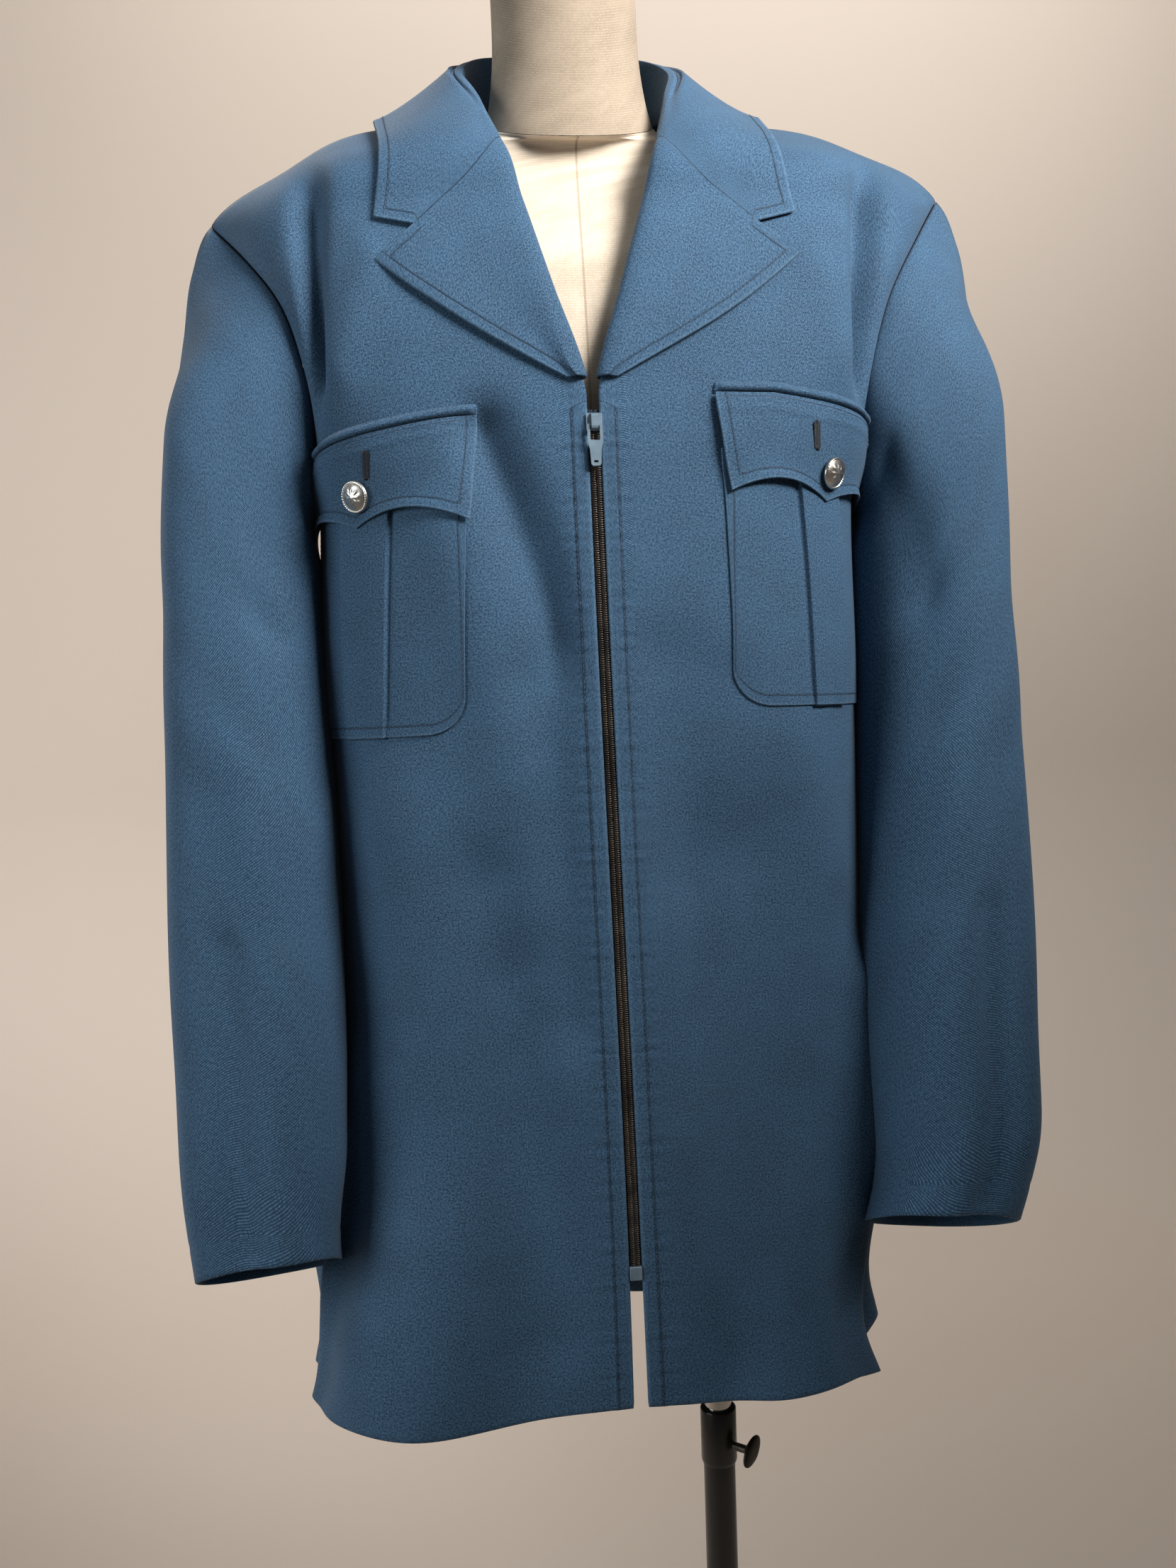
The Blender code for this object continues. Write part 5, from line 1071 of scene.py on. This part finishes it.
# Before the notch the ends get painted seam shade on the gorge seam itself.
ends[:, :notch_column] += STITCH_IN
piece = cloth("cloth_collar", outer, inner, edge=np.minimum(edge, ends), origin=(0.0, 0.9))
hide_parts("collar")
sew(outer, outer - inner, "out", 0.03, 0.97)
for edge in ("first", "last"):
    sew(outer[:, notch_column:], (outer - inner)[:, notch_column:], edge, 0.1, 0.80)
print(piece.name, len(piece.data.polygons), "faces")

# %% [markdown]
# ## The zip
# A nylon coil zip: two woven tapes carry a spiral each, and the turns of the spirals hook into one
# another. At this size each turn is a small bronze-coloured bead across the chain. The slider, its
# pull tab and the box at the foot keep their own solids and get their lacquer after the thumb screw.

# %% Tapes and coil of the zip
ZIP_BOTTOM_V, ZIP_TOP_V, SLIDER_V = 0.106, 0.744, 0.7335
COIL_PITCH = 0.00130


def zip_line(v, beside, depth):
    """A line along the zip: the fronts' edge at the middle plane, moved aside and into the body."""
    edge = front_base(np.zeros(np.shape(v)), v) * np.array([0.0, 1.0, 1.0])
    return hang(edge + np.array([0, 1.0, 0]) * depth) + np.array([1.0, 0, 0]) * beside


for side in ("right", "left"):
    v = np.linspace(ZIP_BOTTOM_V, ZIP_TOP_V, 200)
    ribs = 0.00008 * np.sin(v * 3200)
    columns = [zip_line(v, SIGN[side] * x, depth) for x, depth in ((0.0006, 0.0013), (0.0022, 0.0014))]
    for u in (0.0, 0.016, 0.034, 0.05):
        columns.append(panel(side, np.full(v.shape, u), v, -CLOTH - LAY_GAP + ribs))
    outer = np.stack(columns, axis=1)
    inner = outer + np.array([0, 0.0005, 0])
    piece = cloth("zip_tape_weave_" + side, outer, inner, kind="zip_tape_weave")
    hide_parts("zip_tape_" + side)
v = np.linspace(ZIP_BOTTOM_V + 0.006, SLIDER_V - 0.004, 400)
path = zip_line(v, 0.0, 0.0)
place, way, out = along(path, np.broadcast_to([0.0, -1.0, 0.0], path.shape), COIL_PITCH)
sides = np.tile([-1.0, 1.0], len(place))[:, None]
place, way, out = (np.repeat(x, 2, axis=0) for x in (place, way, out))
cross_way = np.cross(out, way)
place = place + cross_way * sides * 0.00155 + way * sides * COIL_PITCH / 4 + out * 0.0004
coil = copies("zip_coil_turns", spindle(0.0031, 0.00052), place, cross_way, out, "bronze_coil")
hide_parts("zip_chain")
print("coil turns:", len(place))

# %% [markdown]
# ## Buttons and buttonholes
# Each flap closes on a struck metal button: a dome with a stepped rim, a plain rosette and a rope
# edge. The buttonhole is worked by hand: thread laid side by side round a slit.

# %% Closed bodies from rings
def rings(name, stack, kind, body="dressed_form", closed=False, edge=None):
    """A closed body from a stack of rings: capped at both ends, or joined last to first."""
    rows, columns = stack.shape[:2]
    loop = np.concatenate([stack, stack[:1]]) if closed else stack
    wide = arc(np.concatenate([loop, loop[:, :1]], axis=1), 1)
    tall = arc(np.concatenate([loop, loop[:, :1]], axis=1), 0)
    thread = np.stack([wide, tall], -1).reshape(-1, 2)
    face, face_uv = quads(len(loop), columns, ring=True), quads(len(loop), columns + 1)
    points = stack.reshape(-1, 3)
    face = face % len(points) if closed else face
    obj = add_mesh(name, points, face, body, thread[face_uv])
    if not closed:
        mesh = obj.data
        numbers = np.arange(columns)
        turned_round = tuple(mesh.polygons[0].vertices) != tuple(face[0])
        caps = [numbers[::-1], numbers + (rows - 1) * columns]
        caps = [cap[::-1] for cap in caps] if turned_round else caps
        every = [tuple(p.vertices) for p in mesh.polygons] + [tuple(int(k) for k in cap) for cap in caps]
        old = np.empty(len(mesh.loops) * 2)
        mesh.uv_layers[0].data.foreach_get("uv", old)
        cap_uv = [points[cap][:, :2] for cap in caps]
        capped = bpy.data.meshes.new(name)
        capped.from_pydata(points, [], every)
        layer = capped.uv_layers.new(name="threads")
        layer.data.foreach_set("uv", np.concatenate([old.reshape(-1, 2), *cap_uv]).reshape(-1))
        capped.attributes.new("edge_mm", "FLOAT", "POINT").data.foreach_set(
            "value", np.full(len(points), 60.0) if edge is None else edge.reshape(-1))
        capped.shade_smooth()
        capped.set_sharp_from_angle(angle=math.radians(50))
        obj.data = capped
        bpy.data.meshes.remove(mesh)
        capped.name = name
    else:
        obj.data.set_sharp_from_angle(angle=math.radians(50))
    obj.data.materials.append(finish[kind])
    return obj


def lathe(profile, sides=96, relief=None):
    """Rings round Z from (radius, height) pairs; relief(radius, angle) is added to the height."""
    profile = np.asarray(profile, float)
    a = np.linspace(0, 2 * np.pi, sides, endpoint=False)[None]
    r, z = profile[:, :1], profile[:, 1:]
    extra = relief(r, a) if relief else 0 * a
    return np.stack([r * np.cos(a), r * np.sin(a), z + extra], -1)


BUTTON_U, BUTTON_R = 0.540, 0.0095
BUTTON_V = {"right": 0.741 - 0.052, "left": 0.741 - 0.052 + 0.009}
FLAP_LIFT = LAY_GAP + 0.0012 + 0.0014 + LAY_GAP + 0.0002


def struck(r, a):
    """Relief of the die: eight soft petals inside the rim, and a rope of 36 turns on it."""
    petals = 0.00022 * np.cos(8 * a) * np.exp(-((r / BUTTON_R - 0.42) / 0.16) ** 2)
    rope = 0.00012 * np.cos(36 * a + 2) * np.exp(-((r / BUTTON_R - 0.90) / 0.05) ** 2)
    heart = 0.00030 * np.exp(-((r / BUTTON_R) / 0.16) ** 2)
    return petals + rope + heart


for side in ("right", "left"):
    where = np.array([BUTTON_U]), np.array([BUTTON_V[side]])
    foot = panel(side, *where, FLAP_LIFT + 0.0014 + 0.0012)[0]
    tip = panel(side, *where, FLAP_LIFT + 0.0114)[0]
    share = np.linspace(0.02, 1, 34)
    dome = 0.0050 - 0.0021 * share ** 2 * 0.98
    rim = [(BUTTON_R * 0.86, 0.00265), (BUTTON_R * 0.90, 0.0030), (BUTTON_R * 0.96, 0.0029),
           (BUTTON_R, 0.0023), (BUTTON_R * 1.005, 0.0017), (BUTTON_R, 0.0011), (BUTTON_R * 0.93, 0.0003),
           (BUTTON_R * 0.8, 0.0), (BUTTON_R * 0.3, 0.0)]
    profile = [(BUTTON_R * 0.83 * s, h) for s, h in zip(share, dome)] + rim
    shape = lathe(profile, 144, struck)
    shape[-3:, :, 2] = np.array([0.0003, 0.0, 0.0])[:, None]
    turn = np.array(Vector(tip - foot).to_track_quat("Z", "Y").to_matrix())
    button = rings("struck_button_" + side, shape @ turn.T + foot, "nickel_plated_button")
    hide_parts("button_" + side)
    hole_u, hole_v = {"right": ((0.521, 0.514), (0.7255, 0.7035)),
                      "left": ((0.497, 0.496), (0.7400, 0.7180))}[side]
    t = np.linspace(0, 1, 60, endpoint=False)
    leg = np.clip(np.sin(2 * np.pi * t) * 3, -1, 1)
    run = 0.5 + 0.5 * np.clip(np.cos(2 * np.pi * t) * 1.25, -1, 1)
    u = between(hole_u, run) + leg * 0.0045
    v = between(hole_v, run)
    line = panel(side, u, v, np.full(t.shape, 0.0062))
    above = panel(side, u, v, np.full(t.shape, 0.0072))
    line, above = np.concatenate([line, line[:1]]), np.concatenate([above, above[:1]])
    place, way, out = along(line, above - line, 0.00062)
    hole = copies("buttonhole_threads_" + side, spindle(0.0030, 0.00042), place,
                  np.cross(out, way), out, "dark_thread")
    print(button.name, len(button.data.polygons), "faces;", hole.name, len(place), "threads")

# %% All the topstitching in one piece
places, ways, outs = (np.concatenate([row[k] for row in THREADS]) for k in range(3))
sewing = copies("topstitching", spindle(0.0025, 0.00026), places, ways, outs, "navy_thread")
print("stitches:", len(places))

# %% [markdown]
# ## The dress form
# The form is papier-mache under cream linen, sewn from panels with a seam down the middle, and its
# neck is a darker tube of the same linen. Its rings are superellipses that tilt towards the neck.

# %% Torso and neck
FORM_ROWS = (
    # z, half_width, y_front, y_back, tilt, squareness
    (0.735, 0.148, -0.094, 0.112, 0.00, 2.3),
    (0.800, 0.149, -0.098, 0.114, 0.00, 2.3),
    (0.960, 0.128, -0.092, 0.094, 0.00, 2.2),
    (1.100, 0.136, -0.104, 0.106, 0.00, 2.3),
    (1.210, 0.146, -0.109, 0.118, 0.00, 2.4),
    (1.290, 0.154, -0.097, 0.118, 0.00, 2.3),
    (1.335, 0.158, -0.077, 0.096, 0.02, 2.1),
    (1.365, 0.156, -0.062, 0.072, 0.06, 1.9),
    (1.386, 0.134, -0.056, 0.055, 0.14, 1.8),
    (1.398, 0.094, -0.058, 0.050, 0.24, 1.8),
    (1.406, 0.061, -0.065, 0.047, 0.34, 1.9),
    (1.411, 0.0530, -0.069, 0.046, 0.39, 2.0),
)
NECK_ROWS = (
    # z, half_width, y_front, y_back, tilt, squareness
    (1.4114, 0.0528, -0.0688, 0.0458, 0.39, 2.0),
    (1.428, 0.0490, -0.0590, 0.0440, 0.30, 2.0),
    (1.455, 0.0462, -0.0510, 0.0420, 0.14, 2.0),
    (1.500, 0.0460, -0.0480, 0.0420, 0.04, 2.0),
    (1.560, 0.0465, -0.0480, 0.0430, 0.00, 2.0),
    (1.575, 0.0440, -0.0450, 0.0400, 0.00, 2.0),
    (1.580, 0.0380, -0.0390, 0.0340, 0.00, 2.0),
)


def loft(rows, steps, seam_depth, sides=160):
    """Superellipse rings through the table's rows, with a fine groove down the middle of the front."""
    table = [(float(k), *row) for k, row in enumerate(rows)]
    k = np.linspace(0, len(rows) - 1, (len(rows) - 1) * steps + 1)
    z, half, y_front, y_back, tilt, n = (column[:, None] for column in flow(table, k))
    a = np.linspace(0, 2 * np.pi, sides, endpoint=False)[None]
    s, c = np.sin(a), np.cos(a)
    r = (np.abs(s) ** n + np.abs(c) ** n) ** (1 / n)
    gap = np.minimum(np.abs(half * c / r), 0.02)
    pressed = 1 - seam_depth * np.exp(-(gap / 0.0016) ** 2) / half
    x = half * c / r
    y = (y_front + y_back) / 2 + (y_back - y_front) / 2 * s / r * pressed
    return np.stack([x, y, z + tilt * y], -1)


bare_torso = loft(FORM_ROWS, 7, 0.0012, 200)
# edge_mm puts painted seam shade down the middle of the form, on the groove of its seam.
torso = rings("linen_torso", hang(bare_torso), "cream_linen",
              edge=STITCH_IN + np.abs(bare_torso[..., 0]) * 1000)
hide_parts("form_torso")
neck = rings("linen_neck", loft(NECK_ROWS, 8, 0.0) + np.array([GARMENT_X, 0, 0]), "neck_linen")
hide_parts("form_neck")
print("torso", len(torso.data.polygons), "faces, neck", len(neck.data.polygons))

# %% [markdown]
# ## The stand
# A black pole on a round base, with a bright tube inside it that a thumb screw holds. All but the
# screw's wing are turned shapes, so each is a profile carried once round its axis.

# %% Pole, collar, tube, base and socket
POLE_R, BORE, COLLAR_R, TUBE_R = 0.0110, 0.0095, 0.0125, 0.0094
COLLAR_TOP, SCREW_Z = 0.548, 0.522
foot, step = 0.0223, COLLAR_TOP - 0.0035
turned_pieces = {
    "pole": ("enamelled_pole", "black_stove_enamel", "stand", False,
             [(0.0095, step - 0.0003), (POLE_R - 0.0003, step - 0.0003), (POLE_R, step - 0.0006)]
             + [(POLE_R, z) for z in np.linspace(step - 0.001, foot, 12)] + [(0.002, foot)]),
    "pole_collar": ("enamelled_collar", "black_stove_enamel", "stand", True,
                    [(BORE, COLLAR_TOP), (COLLAR_R - 0.0010, COLLAR_TOP), (COLLAR_R - 0.0003, COLLAR_TOP - 0.0003),
                     (COLLAR_R, COLLAR_TOP - 0.0010), (COLLAR_R, 0.5110), (COLLAR_R - 0.0003, 0.5095),
                     (0.0117, 0.5080), (0.0113, 0.5080), (0.0113, step), (BORE, step)]),
    "inner_tube": ("chromed_height_tube", "chromed_tube", "tube", True,
                   [(0.0080, 0.7290), (TUBE_R, 0.7290)] + [(TUBE_R, z) for z in np.linspace(0.72, 0.31, 9)]
                   + [(TUBE_R, 0.3000), (0.0080, 0.3000)]),
    "form_socket": ("steel_socket", "turned_steel", "dressed_form", True,
                    [(0.0097, 0.7340), (0.0220, 0.7344), (0.0220, 0.7318), (0.0165, 0.7300), (0.0160, 0.7285),
                     (0.0160, 0.6915), (0.0154, 0.6902), (0.0100, 0.6900), (0.0097, 0.6905)]),
    "stand_base": ("enamelled_base", "black_stove_enamel", "stand", False,
                   [(0.002, 0.0220), (0.0175, 0.0220), (0.0195, 0.0205), (0.0235, 0.0158), (0.0290, 0.0132),
                    (0.0360, 0.0120), (0.0900, 0.0108), (0.1655, 0.0092), (0.1682, 0.0078), (0.1700, 0.0050),
                    (0.1700, 0.0016), (0.1685, 0.0000), (0.0500, 0.0000), (0.002, 0.0000)]),
}
for solid, (name, kind, body, closed, profile) in turned_pieces.items():
    piece = rings(name, lathe(profile), kind, body, closed)
    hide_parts(solid)
    print(piece.name, len(piece.data.polygons), "faces")

# %% The thumb screw and the metals of the zip
out = np.array([math.sin(math.radians(48)), -math.cos(math.radians(48)), 0.0])
aside = np.cross([0, 0, 1.0], out)
depth = np.linspace(0, 0.0125, 120)
shaft = [(0.0029 - 0.00022 * (0.5 + 0.5 * math.sin(2 * math.pi * d / 0.0010)), TUBE_R + 0.0003 + d) for d in depth]
shaft = lathe([(0.0004, TUBE_R + 0.0003)] + shaft + [(0.0004, TUBE_R + 0.0128)], 48)
axes = np.stack([aside, np.cross(out, aside), out])
screw = rings("turned_screw", shaft @ axes + np.array([0, 0, SCREW_Z]), "turned_steel", "screw")
t, a = grid(np.linspace(0, 2 * np.pi, 64, endpoint=False), np.linspace(0.06, np.pi - 0.06, 40))
waist = 1 - 0.35 * np.exp(-(np.sin(a) * np.cos(t) / 0.35) ** 2) * np.abs(np.sin(a))
lobes = np.stack([0.0118 * np.sin(a) * np.cos(t), 0.0080 * np.sin(a) * np.sin(t),
                  0.0026 * np.sign(np.cos(a)) * np.abs(np.cos(a)) ** 0.7 * (1.35 - 0.5 * waist)], -1)
lean = math.radians(35)
wide_way = aside * math.cos(lean) + np.cross(out, aside) * math.sin(lean)
wing_axes = np.stack([wide_way, np.cross(out, wide_way), out])
wing = rings("cast_wing", lobes @ wing_axes + out * 0.0265 + np.array([0, 0, SCREW_Z]), "worn_cast_wing", "screw")
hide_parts("thumb_screw")
for name in ("zip_slider", "zip_pull_tab", "zip_retainer_box"):
    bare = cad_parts[name]
    bare.data.materials.clear()
    bare.data.materials.append(finish["lacquered_zinc_slider"])
print("screw and wing on body screw; metals of the zip painted")

# %% [markdown]
# ## Floor, wall and light
# The object stands on a plain pale floor before a plain wall, in the soft light of a room: one large
# lamp high at the right, weak ones at the left and behind, a glow from above and one for the wall.

# %% Stage and lights
def sweep(radius=0.8, half=5.0):
    """Floor that turns up into a wall behind: straight, a quarter circle, straight."""
    a = np.linspace(0, np.pi / 2, 24)
    y = np.concatenate([[-4.0], 1.4 + radius * np.sin(a), [1.4 + radius]])
    z = np.concatenate([[0.0], radius * (1 - np.cos(a)), [5.0]]) - 0.0002
    line = np.stack([np.zeros(len(y)), y, z], -1)
    return np.stack([line + [-half, 0, 0], line + [half, 0, 0]], axis=1)


flat = sweep()
mesh = bpy.data.meshes.new("floor_and_wall")
mesh.from_pydata(flat.reshape(-1, 3), [], quads(*flat.shape[:2]).tolist())
mesh.shade_smooth()
floor = bpy.data.objects.new("floor_and_wall", mesh)
bpy.context.scene.collection.objects.link(floor)
tree, shader = new_material("matt_wall_paint", Roughness=0.9)
place = node(tree, "TexCoord").outputs["Object"]
cloud = node(tree, "TexNoise", [(0, place)], i2=1.2, i3=2.0).outputs[0]
tone = node(tree, "Mix", [(0, cloud)], data_type="RGBA", i6=srgb("e6dace"), i7=srgb("ebe0d5")).outputs[2]
tree.links.new(tone, shader.inputs["Base Color"])
floor.data.materials.append(finish["matt_wall_paint"])


def lamp(name, place, size, power, colour, target=(-0.075, 0.0, 1.05), spread=180):
    """A square area lamp that points at the target, its beam held to the spread in degrees."""
    light = bpy.data.lights.new(name, "AREA")
    light.shape, light.size, light.energy, light.color = "SQUARE", size, power, colour
    light.spread = math.radians(spread)
    made = bpy.data.objects.new(name, light)
    bpy.context.scene.collection.objects.link(made)
    made.location = place
    made.rotation_euler = (Vector(target) - Vector(place)).to_track_quat("-Z", "Y").to_euler()


lamp("key_window", (0.85, -0.92, 2.15), 0.8, 9.6, (1.0, 0.97, 0.95), (0.00, 0.0, 1.60), 56)
lamp("left_fill", (-1.9, -0.8, 1.3), 1.0, 4.6, (0.94, 0.98, 1.0), (-0.15, 0.0, 0.85), 80)
lamp("back_fill", (-1.9, 1.5, 1.7), 1.0, 4.0, (1.0, 0.97, 0.95), (-0.1, 0.1, 1.10), 110)
lamp("ceiling_glow", (-0.1, -0.3, 2.7), 1.4, 4.2, (1.0, 0.97, 0.95))
lamp("wall_wash", (0.4, 1.2, 3.3), 2.6, 34, (1.0, 0.95, 0.90), (0.2, 2.2, 2.6), 130)
world = bpy.data.worlds.new("room_light")
world.use_nodes = True
world.node_tree.nodes["Background"].inputs[0].default_value = (0.80, 0.77, 0.73, 1.0)
world.node_tree.nodes["Background"].inputs[1].default_value = 0.050
bpy.context.scene.world = world
bpy.context.scene.view_settings.view_transform = "Standard"
